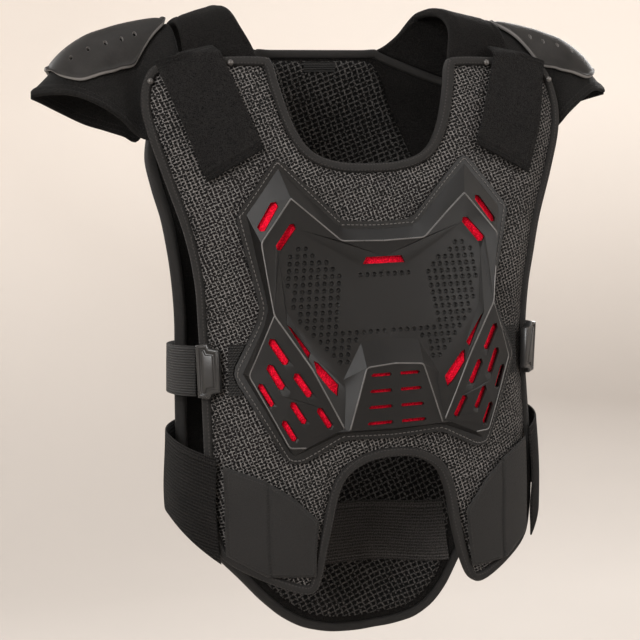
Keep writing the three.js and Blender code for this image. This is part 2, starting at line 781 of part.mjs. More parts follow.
// Height of a region's flat facets at a place inside it.
function riseIn(facets, p) {
  let best = null;
  for (const [a, b, c] of facets) {
    const whole = (b.x - a.x) * (c.z - a.z) - (c.x - a.x) * (b.z - a.z);
    const u = ((b.x - p.x) * (c.z - p.z) - (c.x - p.x) * (b.z - p.z)) / whole;
    const v = ((c.x - p.x) * (a.z - p.z) - (a.x - p.x) * (c.z - p.z)) / whole;
    const w = 1 - u - v;
    const least = Math.min(u, v, w);
    if (!best || least > best.least) {
      best = { least, rise: u * a.rise + v * b.rise + w * c.rise };
    }
  }
  return best.rise;
}

const centreSlot = names('slotTopCentre', 'slotTop', 'slotBottom', 'slotBottomCentre');
const PLATE_STEP = 30;
const LINER_STEP = 40;

// All facets of the plate's left half, with the slots open or closed.
function plateFacets(open, step) {
  const facets = open ? [] : triangulate(centreSlot, []);
  for (const [name, loop] of Object.entries(plateRegions)) {
    const plain = triangulate(loop, []);
    const holes = [];
    for (const hole of plateHoles.filter((h) => open && h.region === name)) {
      const rim = hole.recess ?? hole.slot;
      const raised = rim.map((p) => ({ ...p, rise: riseIn(plain, p) }));
      holes.push(raised);
      if (hole.recess) {
        const low = hole.slot.map((p) => ({ ...p, rise: riseIn(plain, p) - SLOT_RECESS }));
        facets.push(...triangulate(raised, [low]));
      }
    }
    facets.push(...triangulate(loop, holes));
  }
  return facets.flatMap((facet) => refine(facet, step));
}

// A closed solid over facets and their mirror images, from `under(rise)` to `over(rise)`
// above the front panel's outer face.
function reliefSolid(facets, under, over) {
  const positions = [];
  const triangles = [];
  const known = new Map();
  const place = (x, z, rise, k) => {
    const key = `${x.toFixed(4)} ${z.toFixed(4)} ${rise.toFixed(4)} ${k}`;
    if (!known.has(key)) {
      const height = k === 0 ? over(rise) : under(rise);
      known.set(key, positions.length / 3);
      positions.push(x, torsoY(x, z, -1) - height, z);
    }
    return known.get(key);
  };
  const edges = new Map();
  for (const facet of facets) {
    for (const side of [1, -1]) {
      const order = side === 1 ? facet : [...facet].reverse();
      const size = order.reduce((sum, p, i) => {
        const q = order[(i + 1) % 3];
        return sum + p.x * q.z - q.x * p.z;
      }, 0);
      if (Math.abs(size) < 1e-6) {
        continue;
      }
      const turn = size * side > 0 ? order : [...order].reverse();
      const ends = turn.map((p) => [side * p.x + 0, p.z, p.rise]);
      const top = ends.map((p) => place(...p, 0));
      const low = ends.map((p) => place(...p, 1));
      triangles.push(...top, low[0], low[2], low[1]);
      for (let i = 0; i < 3; i += 1) {
        const j = (i + 1) % 3;
        const key = `${top[i]} ${top[j]}`;
        edges.set(key, [top[i], top[j], low[i], low[j]]);
      }
    }
  }
  for (const [a, b, c, d] of edges.values()) {
    if (!edges.has(`${b} ${a}`)) {
      triangles.push(b, a, c, b, c, d);
    }
  }
  return outward(positions, triangles);
}

const seated = (rise) => PLATE_SEAT + rise;
const plateBack = (rise) => PLATE_SEAT + Math.max(0, rise - PLATE_WALL);
add('chest_plate', reliefSolid(plateFacets(true, PLATE_STEP), plateBack, seated), looks.plate);

const linerFront = (rise) => PLATE_SEAT + rise - PLATE_WALL - LINER_GAP;
const linerBack = (rise) => linerFront(rise) - LINER_THICKNESS;
const linerEdge = inset(plateEdge, LINER_INSET);
const liner = toSolid(reliefSolid(plateFacets(false, LINER_STEP), linerBack, linerFront))
  .intersect(prism(linerEdge, -TORSO_FRONT * 2, 0));
add('vent_liner', toGeometry(liner), looks.red);

// Shoulder yokes.
// Each yoke arches over the shoulder, from behind the front panel's tab to the back panel's seam.

const yokeFrontDrop = FRONT_TOP + 30;
const yokeTopZ = (x) => YOKE_TOP - YOKE_DROOP * Math.abs(x - YOKE_CREST_X);
const yokeFrontY = (x) =>
  torsoY(x, -FRONT_TOP, -1, -FRONT_THICKNESS - BINDING_PROUD - 2 * FIT_GAP);
const seamStart = backPlace({ across: 0.345, down: -0.001 });
const seamEnd = backPlace({ across: 0.86, down: 0.062 });
const seamZ = (x) => seamStart.z
  + ((seamEnd.z - seamStart.z) * (x - seamStart.x)) / (seamEnd.x - seamStart.x) + 4 * FIT_GAP;

const yokeInner = [
  { turn: 0, across: 0.44 },
  { turn: 0.12, across: 0.475 },
  { turn: 0.25, across: 0.515 },
  { turn: 0.5, across: 0.508 },
  { turn: 0.75, across: 0.447 },
  { turn: 0.88, across: 0.38 },
  { turn: 1, across: 0.305 },
];

// How far back the top line runs: furthest near the neck.
const crestY = (x) =>
  SHOULDER_Y + YOKE_SET_BACK * eased((YOKE_OUTER_X - x) / (YOKE_OUTER_X - YOKE_NECK_X));

function yokeFace(u, v) {
  const inner = lookUp(yokeInner, 'turn', 'across', v) * FRONT_HALF_WIDTH;
  const x = inner + (YOKE_OUTER_X - inner) * u;
  const bend = 2 / SECTION_POWER;
  const along = Math.abs(Math.cos(v * Math.PI)) ** bend;
  const up = Math.sin(v * Math.PI) ** bend;
  const frontHalf = v < 0.5;
  const endZ = frontHalf ? -yokeFrontDrop : seamZ(x);
  const endY = frontHalf ? yokeFrontY(x) : torsoY(x, endZ, 1);
  return new THREE.Vector3(
    x,
    crestY(x) + (endY - crestY(x)) * along,
    endZ + (yokeTopZ(x) - endZ) * up,
  );
}

// The same face moved against its normal by a thickness.
function offsetFace(face, distance) {
  const step = 1e-3;
  return (u, v) => {
    const low = (t) => Math.max(0, t - step);
    const high = (t) => Math.min(1, t + step);
    const along = face(high(u), v).sub(face(low(u), v));
    const across = face(u, high(v)).sub(face(u, low(v)));
    const normal = along.cross(across).normalize();
    return face(u, v).addScaledVector(normal, distance);
  };
}

addPair('yoke', slab(yokeFace, offsetFace(yokeFace, -YOKE_THICKNESS), 4, 12), looks.fabric);

// Shoulder wings.
// Stations from the yoke's outer edge to the tip. out: share of the wing's span. ridge, front, rear:
// heights of its top line and its two hems. deep: half its depth. All shares of WING_DEEP.

const wingStations = [
  { out: 0, ridge: -0.005, front: -0.39, rear: -0.48, deep: 0.45 },
  { out: 0.1, ridge: -0.022, front: -0.67, rear: -0.69, deep: 0.41 },
  { out: 0.2, ridge: -0.043, front: -0.85, rear: -0.83, deep: 0.35 },
  { out: 0.3, ridge: -0.066, front: -0.85, rear: -0.79, deep: 0.318 },
  { out: 0.43, ridge: -0.1, front: -0.73, rear: -0.74, deep: 0.36 },
  { out: 0.57, ridge: -0.148, front: -0.63, rear: -0.695, deep: 0.375 },
  { out: 0.74, ridge: -0.255, front: -0.545, rear: -0.625, deep: 0.325 },
  { out: 0.88, ridge: -0.385, front: -0.52, rear: -0.575, deep: 0.21 },
  { out: 1, ridge: -0.5, front: -0.525, rear: -0.54, deep: 0.04 },
];
const wingRootX = YOKE_OUTER_X + 3 * FIT_GAP;
const wingSpan = WING_REACH - wingRootX;
const wingRead = (x, column) =>
  WING_DEEP * lookUp(wingStations, 'out', column, (x - wingRootX) / wingSpan);

function wingFace(u, v) {
  const x = wingRootX + wingSpan * u;
  const ridge = wingRead(x, 'ridge') + WING_DEEP;
  const start = Math.asin(Math.max((wingRead(x, 'front') + WING_DEEP) / ridge, 0));
  const end = Math.PI - Math.asin(Math.max((wingRead(x, 'rear') + WING_DEEP) / ridge, 0));
  const turn = start + (end - start) * v;
  return new THREE.Vector3(
    x,
    SHOULDER_Y - wingRead(x, 'deep') * Math.cos(turn),
    ridge * Math.sin(turn) - WING_DEEP,
  );
}

addPair('wing', slab(wingFace, offsetFace(wingFace, -WING_THICKNESS), 12, 10), looks.fabric);

// Shoulder caps.
// A dome of pointed-oval outline. along: share of CAP_LENGTH from the inner end, deep: share of
// CAP_HALF_DEPTH, lift: height of the top line over what the cap sits on, as a share of CAP_LIFT.

const capStations = [
  { along: 0, deep: 0.16, lift: 0.3 },
  { along: 0.03, deep: 0.36, lift: 0.5 },
  { along: 0.1, deep: 0.52, lift: 0.8 },
  { along: 0.22, deep: 0.66, lift: 1 },
  { along: 0.38, deep: 0.8, lift: 1.1 },
  { along: 0.54, deep: 0.92, lift: 1 },
  { along: 0.68, deep: 0.93, lift: 1 },
  { along: 0.81, deep: 0.82, lift: 0.9 },
  { along: 0.93, deep: 0.5, lift: 0.6 },
  { along: 1, deep: 0.08, lift: 0.3 },
];

// Height of the wing's outer face at a distance from the shoulder's middle line.
function shoulderZ(x, offset) {
  const share = Math.min(offset / wingRead(x, 'deep'), 1);
  return (wingRead(x, 'ridge') + WING_DEEP) * Math.sqrt(1 - share * share) - WING_DEEP;
}

function capFace(u, v) {
  const x = CAP_INNER_X + CAP_LENGTH * u;
  const side = 2 * v - 1;
  const offset = lookUp(capStations, 'along', 'deep', u) * CAP_HALF_DEPTH * side;
  const lift = lookUp(capStations, 'along', 'lift', u) * CAP_LIFT * (1 - side * side);
  const step = 0.5;
  const fall = shoulderZ(x, Math.abs(offset - step)) - shoulderZ(x, Math.abs(offset + step));
  const slope = shoulderZ(x - step, Math.abs(offset)) - shoulderZ(x + step, Math.abs(offset));
  const normal = new THREE.Vector3(Math.max(slope, 0), fall, 2 * step).normalize();
  return new THREE.Vector3(x, SHOULDER_Y + offset, shoulderZ(x, Math.abs(offset)))
    .addScaledVector(normal, CAP_THICKNESS + CAP_SEAT + lift);
}

const capHoles = [
  { along: 0.3, turn: 0.2 },
  { along: 0.43, turn: 0.2 },
  { along: 0.56, turn: 0.2 },
  { along: 0.69, turn: 0.2 },
  { along: 0.82, turn: 0.2 },
  { along: 0.6, turn: 0.44 },
  { along: 0.72, turn: 0.44 },
  { along: 0.84, turn: 0.42 },
];

function buildCap() {
  let cap = toSolid(slab(capFace, offsetFace(capFace, -CAP_THICKNESS), 12, 8));
  const oval = new THREE.Shape();
  oval.absellipse(0, 0, CAP_HOLE_WIDTH / 2, CAP_HOLE_LENGTH / 2, 0, 2 * Math.PI);
  for (const hole of capHoles) {
    const centre = capFace(hole.along, hole.turn);
    const normal = offsetFace(capFace, 1)(hole.along, hole.turn).sub(centre).normalize();
    const up = capFace(hole.along, hole.turn + 0.01).sub(centre).normalize();
    const side = up.clone().cross(normal).normalize();
    const depth = CAP_THICKNESS * 3;
    const cutter = new THREE.ExtrudeGeometry(oval, { depth, bevelEnabled: false, curveSegments: 2 });
    cutter.translate(0, 0, -depth / 2);
    cutter.applyMatrix4(new THREE.Matrix4().makeBasis(side, up, normal).setPosition(centre));
    cap = cap.subtract(toSolid(cutter));
  }
  return toGeometry(cap);
}
addPair('cap', buildCap(), looks.cap);

// Shoulder straps and their rivets.
// Corners of the strap on the front panel: across is a share of FRONT_HALF_WIDTH, down a share of
// FRONT_LENGTH below FRONT_TOP.

const strapCorners = {
  outerTop: { across: 0.945, down: 0.004 },
  innerTop: { across: 0.672, down: -0.024 },
  innerBottom: { across: 0.505, down: 0.17 },
  outerBottom: { across: 0.755, down: 0.227 },
};
const onFront = (p) => new THREE.Vector2(
  p.across * FRONT_HALF_WIDTH,
  -FRONT_TOP - p.down * FRONT_LENGTH,
);
const strapSeat = BINDING_PROUD + 1.5 * FIT_GAP;

// Depth of the yoke's outer face in front of the shoulder line.
function yokeY(x, z) {
  const share = Math.max(0, Math.min((z + yokeFrontDrop) / (yokeTopZ(x) + yokeFrontDrop), 1));
  const along = (1 - share ** SECTION_POWER) ** (1 / SECTION_POWER);
  return crestY(x) + (yokeFrontY(x) - crestY(x)) * along;
}

const strapPlace = (grow) => (u, v) => {
  const top = onFront(strapCorners.innerTop).lerp(onFront(strapCorners.outerTop), u);
  const bottom = onFront(strapCorners.innerBottom).lerp(onFront(strapCorners.outerBottom), u);
  const clear = Math.max((top.y + FRONT_TOP - 3) / (top.y - bottom.y), 0.03);
  const at = top.lerp(bottom, v < 0.25 ? clear * 4 * v : clear + ((1 - clear) * (4 * v - 1)) / 3);
  const rest = torsoY(at.x, at.y, -1, strapSeat);
  const tuck = Math.min(Math.max(at.y + FRONT_TOP - 3, 0) / 8, 1);
  const y = rest + (yokeY(at.x, at.y) - FIT_GAP - rest) * tuck;
  return new THREE.Vector3(at.x, y - grow, at.y);
};
addPair('shoulder_strap', slab(strapPlace(STRAP_THICKNESS), strapPlace(0), 3, 12), looks.loop);

const rivetPlaces = {
  inner_rivet: { across: 0.618, down: 0.01, proud: 0.6 },
  outer_rivet: { across: 0.965, down: 0.04, proud: 0 },
};
for (const [name, place] of Object.entries(rivetPlaces)) {
  const at = onFront(place);
  const rivet = new THREE.CylinderGeometry(RIVET_RADIUS * 0.7, RIVET_RADIUS, RIVET_HEIGHT, 12);
  rivet.rotateX(Math.PI / 2);
  const rest = BINDING_PROUD + FIT_GAP + place.proud;
  const y = torsoY(at.x - RIVET_RADIUS, at.y - RIVET_RADIUS, -1, rest) - RIVET_HEIGHT / 2;
  rivet.translate(at.x, y, at.y);
  const closed = outward(Array.from(rivet.attributes.position.array), Array.from(rivet.index.array));
  addPair(name, closed, looks.steel);
}

// Side straps: webbing, buckle, front tab.

const onRing = (start, end, top, bottom, grow) => (u, v) => {
  const angle = (start + (end - start) * u) * degrees;
  const z = top(u) + (bottom(u) - top(u)) * v;
  return torso(angle, z, grow);
};
const level = (z) => () => z;

// Angles round the torso, from the middle of the front.
const BUCKLE_ANGLE = 58;
const WEB_START = 66;
const WEB_END = 118;
const TAB_START = 49.5;
const TAB_END = 36;
const BACK_MIDDLE = 180;

const webTop = -SIDE_STRAP_DROP + WEB_WIDTH / 2;
const webBottom = -SIDE_STRAP_DROP - WEB_WIDTH / 2;
const ringSeat = BINDING_PROUD + 2.8 * FIT_GAP;
const webPlace = (grow) => onRing(WEB_START, WEB_END, level(webTop), level(webBottom), grow);
addPair('side_web', slab(webPlace(ringSeat + WEB_THICKNESS), webPlace(ringSeat), 10, 2), looks.elastic);

const buckleHalf = WEB_WIDTH / 2;
const buckleShape = new THREE.Shape([
  new THREE.Vector2(-BUCKLE_LENGTH / 2, -buckleHalf * 0.8),
  new THREE.Vector2(-BUCKLE_LENGTH * 0.1, -buckleHalf * 0.86),
  new THREE.Vector2(0, -buckleHalf * 1.05),
  new THREE.Vector2(BUCKLE_LENGTH / 2, -buckleHalf),
  new THREE.Vector2(BUCKLE_LENGTH / 2, buckleHalf),
  new THREE.Vector2(0, buckleHalf * 1.05),
  new THREE.Vector2(-BUCKLE_LENGTH * 0.1, buckleHalf * 0.86),
  new THREE.Vector2(-BUCKLE_LENGTH / 2, buckleHalf * 0.8),
]);
const buckleBody = new THREE.ExtrudeGeometry(buckleShape, {
  depth: BUCKLE_THICKNESS - 2,
  bevelEnabled: true,
  bevelSize: 1,
  bevelThickness: 1,
  bevelSegments: 1,
});
const buckleMiddle = torso(BUCKLE_ANGLE * degrees, -SIDE_STRAP_DROP, ringSeat + 2);
const buckleAhead = torso((BUCKLE_ANGLE - 5) * degrees, -SIDE_STRAP_DROP, ringSeat + 2);
const buckleBack = torso((BUCKLE_ANGLE + 5) * degrees, -SIDE_STRAP_DROP, ringSeat + 2);
const alongBuckle = buckleBack.clone().sub(buckleAhead).normalize();
const outOfBuckle = new THREE.Vector3().crossVectors(alongBuckle, new THREE.Vector3(0, 0, 1));
buckleBody.applyMatrix4(
  new THREE.Matrix4()
    .makeBasis(alongBuckle, new THREE.Vector3(0, 0, 1), outOfBuckle)
    .setPosition(buckleMiddle),
);
addPair('buckle', toGeometry(toSolid(buckleBody)), looks.plate);

const tabPlace = (grow) => onRing(TAB_START, TAB_END, level(webTop), level(webBottom), grow);
const plateShadow = prism(inset(plateEdge, -2 * FIT_GAP), -TORSO_FRONT * 2, 0);
const tab = toSolid(slab(tabPlace(FIT_GAP + WEB_THICKNESS), tabPlace(FIT_GAP), 6, 2))
  .subtract(plateShadow);
addPair('side_tab', toGeometry(tab), looks.elastic);

// Waist belt and its flaps.

const beltFront = 54.5;
const beltBack = 150;
const beltTop = (u) =>
  -FRONT_TOP - BELT_TOP_SHARE * FRONT_LENGTH - BELT_DIP * (1 - u) ** 2;
const beltBottom = (u) =>
  -FRONT_TOP - BELT_FOOT_SHARE * FRONT_LENGTH + BELT_RISE * Math.sin((Math.min(2 * u, 1) * Math.PI) / 2);
const beltPlace = (grow) => onRing(beltFront, beltBack, beltTop, beltBottom, grow);
addPair('belt', slab(beltPlace(ringSeat + BELT_THICKNESS), beltPlace(ringSeat), 12, 3), looks.elastic);

// Outline of a flap: across is a share of FRONT_HALF_WIDTH, down a share of FRONT_LENGTH.
const flapOutline = [
  { across: 0.757, down: 0.745 },
  { across: 0.59, down: 0.775 },
  { across: 0.47, down: 0.81 },
  { across: 0.36, down: 0.858 },
  { across: 0.385, down: 0.965 },
  { across: 0.6, down: 0.958 },
  { across: 0.757, down: 0.915 },
];
const flapEdge = flapOutline.map((p) => {
  const at = onFront(p);
  return { x: at.x, z: at.y };
});
const flapTop = FRONT_TOP + 0.72 * FRONT_LENGTH;
const flapPlace = (grow) => (u, v) =>
  torso((15 + 45 * u) * degrees, -flapTop - v * 0.27 * FRONT_LENGTH, grow);
const flap = toSolid(slab(flapPlace(ringSeat + FLAP_THICKNESS), flapPlace(ringSeat), 9, 5))
  .intersect(prism(flapEdge, -TORSO_FRONT * 2, 0));
addPair('flap', toGeometry(flap), looks.leather);

// Inner back band.

const bandOuter = padInner - 3 * FIT_GAP;
const bandPlace = (grow) => onRing(
  BACK_MIDDLE - BAND_TURN,
  BACK_MIDDLE + BAND_TURN,
  level(-BAND_DROP + BAND_WIDTH / 2),
  level(-BAND_DROP - BAND_WIDTH / 2),
  grow,
);
add('inner_band', slab(bandPlace(bandOuter), bandPlace(bandOuter - BAND_THICKNESS), 14, 2), looks.elastic);

export default vest;
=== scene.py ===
import math

import bmesh
import bpy
import numpy as np
from mathutils import Matrix, Vector
from mathutils.bvhtree import BVHTree
from mathutils.geometry import delaunay_2d_cdt


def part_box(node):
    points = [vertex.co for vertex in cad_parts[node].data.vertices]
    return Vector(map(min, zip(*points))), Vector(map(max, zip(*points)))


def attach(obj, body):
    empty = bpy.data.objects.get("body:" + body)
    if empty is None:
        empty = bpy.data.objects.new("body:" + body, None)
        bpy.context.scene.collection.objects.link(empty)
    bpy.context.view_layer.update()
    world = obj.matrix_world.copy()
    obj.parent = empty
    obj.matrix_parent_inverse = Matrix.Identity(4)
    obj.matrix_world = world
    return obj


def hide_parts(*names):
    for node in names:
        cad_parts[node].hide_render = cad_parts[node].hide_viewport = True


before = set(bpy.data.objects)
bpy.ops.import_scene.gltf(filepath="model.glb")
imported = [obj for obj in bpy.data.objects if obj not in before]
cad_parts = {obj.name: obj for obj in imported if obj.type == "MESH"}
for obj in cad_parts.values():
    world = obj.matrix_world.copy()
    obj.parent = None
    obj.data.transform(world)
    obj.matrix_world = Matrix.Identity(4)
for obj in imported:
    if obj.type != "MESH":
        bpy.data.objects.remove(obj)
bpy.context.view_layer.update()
MM = 0.001

# Camera: at the photograph's height and angle, a little to the vest's right hand side,
# with a long lens. Its axes are the columns of the matrix.
camera = bpy.data.objects.new("camera", bpy.data.cameras.new("camera"))
camera.data.lens = 78.75
camera.data.sensor_width = 36
camera.data.clip_end = 40
camera.matrix_world = Matrix((
    (0.9388, 0.0627, -0.3387, -0.4938),
    (-0.3415, 0.0410, -0.9390, -1.2915),
    (-0.0450, 0.9972, 0.0599, -0.2055),
    (0, 0, 0, 1),
))
bpy.context.scene.collection.objects.link(camera)
bpy.context.scene.camera = camera
bpy.context.scene.view_settings.view_transform = "Standard"


# Shader maths: a socket that adds its own Math nodes, and one way to make any other node. Some
# sockets go by number: those of the coordinates, of an attribute and of a mix of two colours.
OBJECT_OUT, FACTOR_OUT, MIX_OUT = 3, 2, 2
MIX_SHARE, MIX_LOW, MIX_HIGH = 0, 6, 7


def make(tree, kind, settings=None, values=None, out=0):
    node = tree.nodes.new(kind)
    for name, setting in (settings or {}).items():
        setattr(node, name, setting)
    for name, value in (values or {}).items():
        if isinstance(value, Wire):
            tree.links.new(value.socket, node.inputs[name])
        else:
            node.inputs[name].default_value = value
    return Wire(node.outputs[out])


def operation(kind, swapped=False):
    def act(self, other):
        return self.maths(kind, *((other, self) if swapped else (self, other)))
    return act


class Wire:
    def __init__(self, socket):
        self.socket = socket
        self.tree = socket.id_data

    def maths(self, operation, *values):
        return make(self.tree, "ShaderNodeMath", {"operation": operation}, dict(enumerate(values)))

    __add__, __radd__ = operation("ADD"), operation("ADD", swapped=True)
    __sub__, __rsub__ = operation("SUBTRACT"), operation("SUBTRACT", swapped=True)
    __mul__, __rmul__ = operation("MULTIPLY"), operation("MULTIPLY", swapped=True)
    __truediv__ = operation("DIVIDE")

    def wave(self, length):
        return self.maths("COSINE", self * (2 * math.pi / length))

    def fraction(self):
        return self.maths("FRACT", self)

    def size(self):
        return self.maths("ABSOLUTE", self)

    def between(self, low, high):
        return make(self.tree, "ShaderNodeMapRange", {"interpolation_type": "SMOOTHSTEP"},
                    {"Value": self, "From Min": low, "From Max": high})


class Finish:
    """One material: its shader, its coordinates and the few nodes every finish here uses."""

    def __init__(self, name, **shader):
        self.material = bpy.data.materials.new(name)
        self.material.use_nodes = True
        self.tree = self.material.node_tree
        self.shader = self.tree.nodes["Principled BSDF"]
        for socket, value in shader.items():
            self.shader.inputs[socket.replace("_", " ")].default_value = value

    def place(self):
        return make(self.tree, "ShaderNodeTexCoord", out=OBJECT_OUT)

    def split(self, place, axes):
        return [make(self.tree, "ShaderNodeSeparateXYZ", values={0: place}, out=axis) for axis in axes]

    def weave(self):
        """The piece's own map, and its two runs in metres."""
        place = make(self.tree, "ShaderNodeUVMap", {"uv_map": "weave"})
        return [place] + self.split(place, "XY")

    def read(self, name):
        return make(self.tree, "ShaderNodeAttribute", {"attribute_name": name}, out=FACTOR_OUT)

    def noise(self, place, scale, detail=3.0, rough=0.55):
        return make(self.tree, "ShaderNodeTexNoise", values={
            "Vector": place, "Scale": scale, "Detail": detail, "Roughness": rough})

    def colour(self, share, low, high):
        return make(self.tree, "ShaderNodeMix", {"data_type": "RGBA"}, {
            MIX_SHARE: share, MIX_LOW: (*low, 1), MIX_HIGH: (*high, 1)}, out=MIX_OUT)

    def coat(self, share, low, high, height, distance, **wires):
        """Colour between two tones, relief, and any other socket of the shader."""
        self.feed(Base_Color=self.colour(share, low, high), **wires)
        self.bump(height, distance)

    def feed(self, **wires):
        for socket, wire in wires.items():
            self.tree.links.new(wire.socket, self.shader.inputs[socket.replace("_", " ")])

    def bump(self, height, distance):
        self.feed(Normal=make(self.tree, "ShaderNodeBump", values={
            "Height": height, "Distance": distance, "Strength": 1.0}))


# Studio: a pale floor that curves up into a pale wall all round, and five soft lamps, with painted shade on
# the floor and high up the wall.
def full_turn(count):
    return np.linspace(0, 2 * math.pi, count, endpoint=False)


def tube_faces(rows, ring, start=0, closed=False):
    """Faces between neighbouring rings of points; closed joins the last ring to the first."""
    return [(start + i * ring + k, start + i * ring + (k + 1) % ring,
             start + (i + 1) % rows * ring + (k + 1) % ring, start + (i + 1) % rows * ring + k)
            for i in range(rows if closed else rows - 1) for k in range(ring)]


def link_mesh(name, points, faces, smooth=True, unit=MM):
    """A mesh object at the origin."""
    mesh = bpy.data.meshes.new(name)
    mesh.from_pydata([tuple(p) for p in np.asarray(points) * unit], [], faces)
    for face in mesh.polygons:
        face.use_smooth = smooth
    piece = bpy.data.objects.new(name, mesh)
    bpy.context.scene.collection.objects.link(piece)
    return piece


FLOOR_Z, FLAT_RADIUS, CURVE_RADIUS, WALL_TOP, WALL_SIDES = -1.1, 2.2, 1.6, 5.0, 64
wall = Finish("studio_paper", Roughness=1.0, Specular_IOR_Level=0.0)
place = wall.place()
height = wall.split(place, "Z")[0]
# Painted shade: the paper is coloured darker on the floor and towards the top of the wall, and lightest around
# the vest's height.
painted_light_share = height.between(-1.2, 0.5) - 0.5 * height.between(0.6, 3.2) + 0.1 * wall.noise(place, 0.6)
wall.feed(Base_Color=wall.colour(painted_light_share, (0.38, 0.352, 0.327), (0.93, 0.875, 0.82)))
profile = [(0.0, FLOOR_Z), (FLAT_RADIUS, FLOOR_Z)]
profile += [(FLAT_RADIUS + CURVE_RADIUS * math.sin(a), FLOOR_Z + CURVE_RADIUS * (1 - math.cos(a)))
            for a in np.linspace(0.1, math.pi / 2, 14)]
profile += [(FLAT_RADIUS + CURVE_RADIUS, WALL_TOP)]
bowl = [(r * math.cos(a), r * math.sin(a), z) for r, z in profile for a in full_turn(WALL_SIDES)]
floor = link_mesh("studio_floor", bowl, tube_faces(len(profile), WALL_SIDES), unit=1)
floor.data.materials.append(wall.material)

world = bpy.data.worlds.new("studio_air")
world.use_nodes = True
world.node_tree.nodes["Background"].inputs["Color"].default_value = (1.0, 0.97, 0.945, 1)
world.node_tree.nodes["Background"].inputs["Strength"].default_value = 0.7
bpy.context.scene.world = world
LAMP_AIM = Vector((0, 0, -0.25))
for name, at, size, power in (
    ("lamp_left", (-1.9, -1.9, 0.75), 1.3, 66),
    ("lamp_right", (1.9, -1.6, 0.5), 1.3, 26),
    ("lamp_top", (0.0, -0.4, 2.1), 1.6, 18),
    ("lamp_behind_left", (-1.6, 1.9, 0.9), 1.4, 52),
    ("lamp_behind_right", (1.8, 1.9, 0.7), 1.4, 60),
):
    lamp = bpy.data.lights.new(name, "AREA")
    lamp.size = size
    lamp.energy = power
    holder = bpy.data.objects.new(name, lamp)
    holder.location = at
    holder.rotation_euler = (LAMP_AIM - Vector(at)).to_track_quat("-Z", "Y").to_euler()
    bpy.context.scene.collection.objects.link(holder)


# Form: the vest keeps the shape of the body it is made for. Cross-sections of the outer face
# of its padding go from the shoulder line down, in millimetres. Left and right are as seen
# from the front.
SIDES = (("left", -1), ("right", 1))
TORSO = np.array([
    # below the shoulders, half width, front, back, how far back the widest line lies
    (-60.8, 244.8, 52.5, 44.6, 0.0),
    (42.6, 244.8, 70.4, 60.5, -2.9),
    (97.3, 235.8, 78.8, 70.6, -7.2),
    (152.0, 210.6, 85.1, 74.9, -12.2),
    (200.6, 189.0, 89.3, 75.6, -17.3),
    (261.4, 178.2, 94.5, 73.4, -20.2),
    (328.3, 180.0, 100.8, 70.6, -18.7),
    (389.1, 183.6, 105.0, 67.7, -15.8),
    (449.9, 187.2, 104.0, 60.5, -10.1),
    (522.9, 181.8, 94.5, 46.1, -10.1),
    (620.2, 165.6, 84.0, 28.8, -14.4),
])
POWER = 2.5

# The vest hangs a little askew: its side at +X stands out under the arm, its hem swings that
# way and that leg hangs lower. Drop below the shoulders as a share of DROP, and how far out.
SWAY = np.array([
    (0, 0.1), (0.1, 0.4), (0.18, 0.9), (0.28, 1), (0.37, 0.9), (0.43, 0.5), (0.5, 0), (0.57, -0.3),
    (0.85, -0.3), (1, -0.2),
])
DROP, SWAY_OUT, SWAY_HEM, SWAY_LOW = 608, 14, 8, 10


def unit(vectors):
    return vectors / np.linalg.norm(vectors, axis=-1, keepdims=True)


def run_along(line):
    """The length of a line up to each of its points."""
    return np.concatenate([[0], np.cumsum(np.linalg.norm(np.diff(line, axis=0), axis=1))])


def eased(t):
    t = np.clip(t, 0, 1)
    return t * t * (3 - 2 * t)


def askew(points):
    x, y, z = np.moveaxis(np.asarray(points, float), -1, 0)
    drop = -z / DROP
    out = SWAY_OUT * smooth_read(SWAY[:, 0], SWAY[:, 1], drop) * eased((x - 60) / 130)
    hem = SWAY_HEM * eased((drop - 0.78) / 0.18)
    low = SWAY_LOW * eased((x - 10) / 90) * eased((drop - 0.68) / 0.16)
    return np.stack([x + out + hem, y, z - low], -1)


def smooth_read(keys, values, at):
    at = np.clip(np.asarray(at, float), keys[0], keys[-1])
    i = np.clip(np.searchsorted(keys, at, side="right") - 1, 0, len(keys) - 2)
    last = len(keys) - 1
    low, high = np.maximum(np.arange(last + 1) - 1, 0), np.minimum(np.arange(last + 1) + 1, last)
    slope = (values[high] - values[low]) / (keys[high] - keys[low])
    run = keys[i + 1] - keys[i]
    t = (at - keys[i]) / run
    return (values[i] + (values[i + 1] - values[i]) * (3 * t**2 - 2 * t**3)
            + run * (slope[i] * (t - 2 * t**2 + t**3) + slope[i + 1] * (t**3 - t**2)))


def torso_sizes(z):
    wide, front, back, middle = (smooth_read(TORSO[:, 0], column, -np.asarray(z, float))
                                 for column in TORSO.T[1:])
    return wide, front + middle, back - middle, middle


def round_torso(angle, z, grow):
    angle, z = np.broadcast_arrays(np.asarray(angle, float), np.asarray(z, float))
    wide, front, back, middle = torso_sizes(z)
    sine, cosine = np.sin(angle), np.cos(angle)
    depth = np.where(cosine > 0, front, back)
    x = (wide + grow) * np.sign(sine) * np.abs(sine) ** (2 / POWER)
    y = middle - (depth + grow) * np.sign(cosine) * np.abs(cosine) ** (2 / POWER)
    return np.stack([x, y, z], -1)


def torso_depth(x, z, side, grow):
    wide, front, back, middle = torso_sizes(z)
    share = np.clip(np.abs(x) / (wide + grow), 0, 1)
    return middle + side * ((front if side < 0 else back) + grow) * (1 - share**POWER) ** (1 / POWER)


def on_torso(x, z, side, grow):
    return np.stack([x, torso_depth(x, z, side, grow), z], -1)


def arc_along(x, z, side):
    """The way round the body from its middle line."""
    count = 25
    xs = np.asarray(x)[:, None] * np.linspace(0, 1, count)
    ys = torso_depth(xs, np.repeat(np.asarray(z)[:, None], count, 1), side, 0.0)
    length = np.hypot(np.diff(xs, axis=1), np.diff(ys, axis=1)).sum(1)
    return np.sign(x) * length


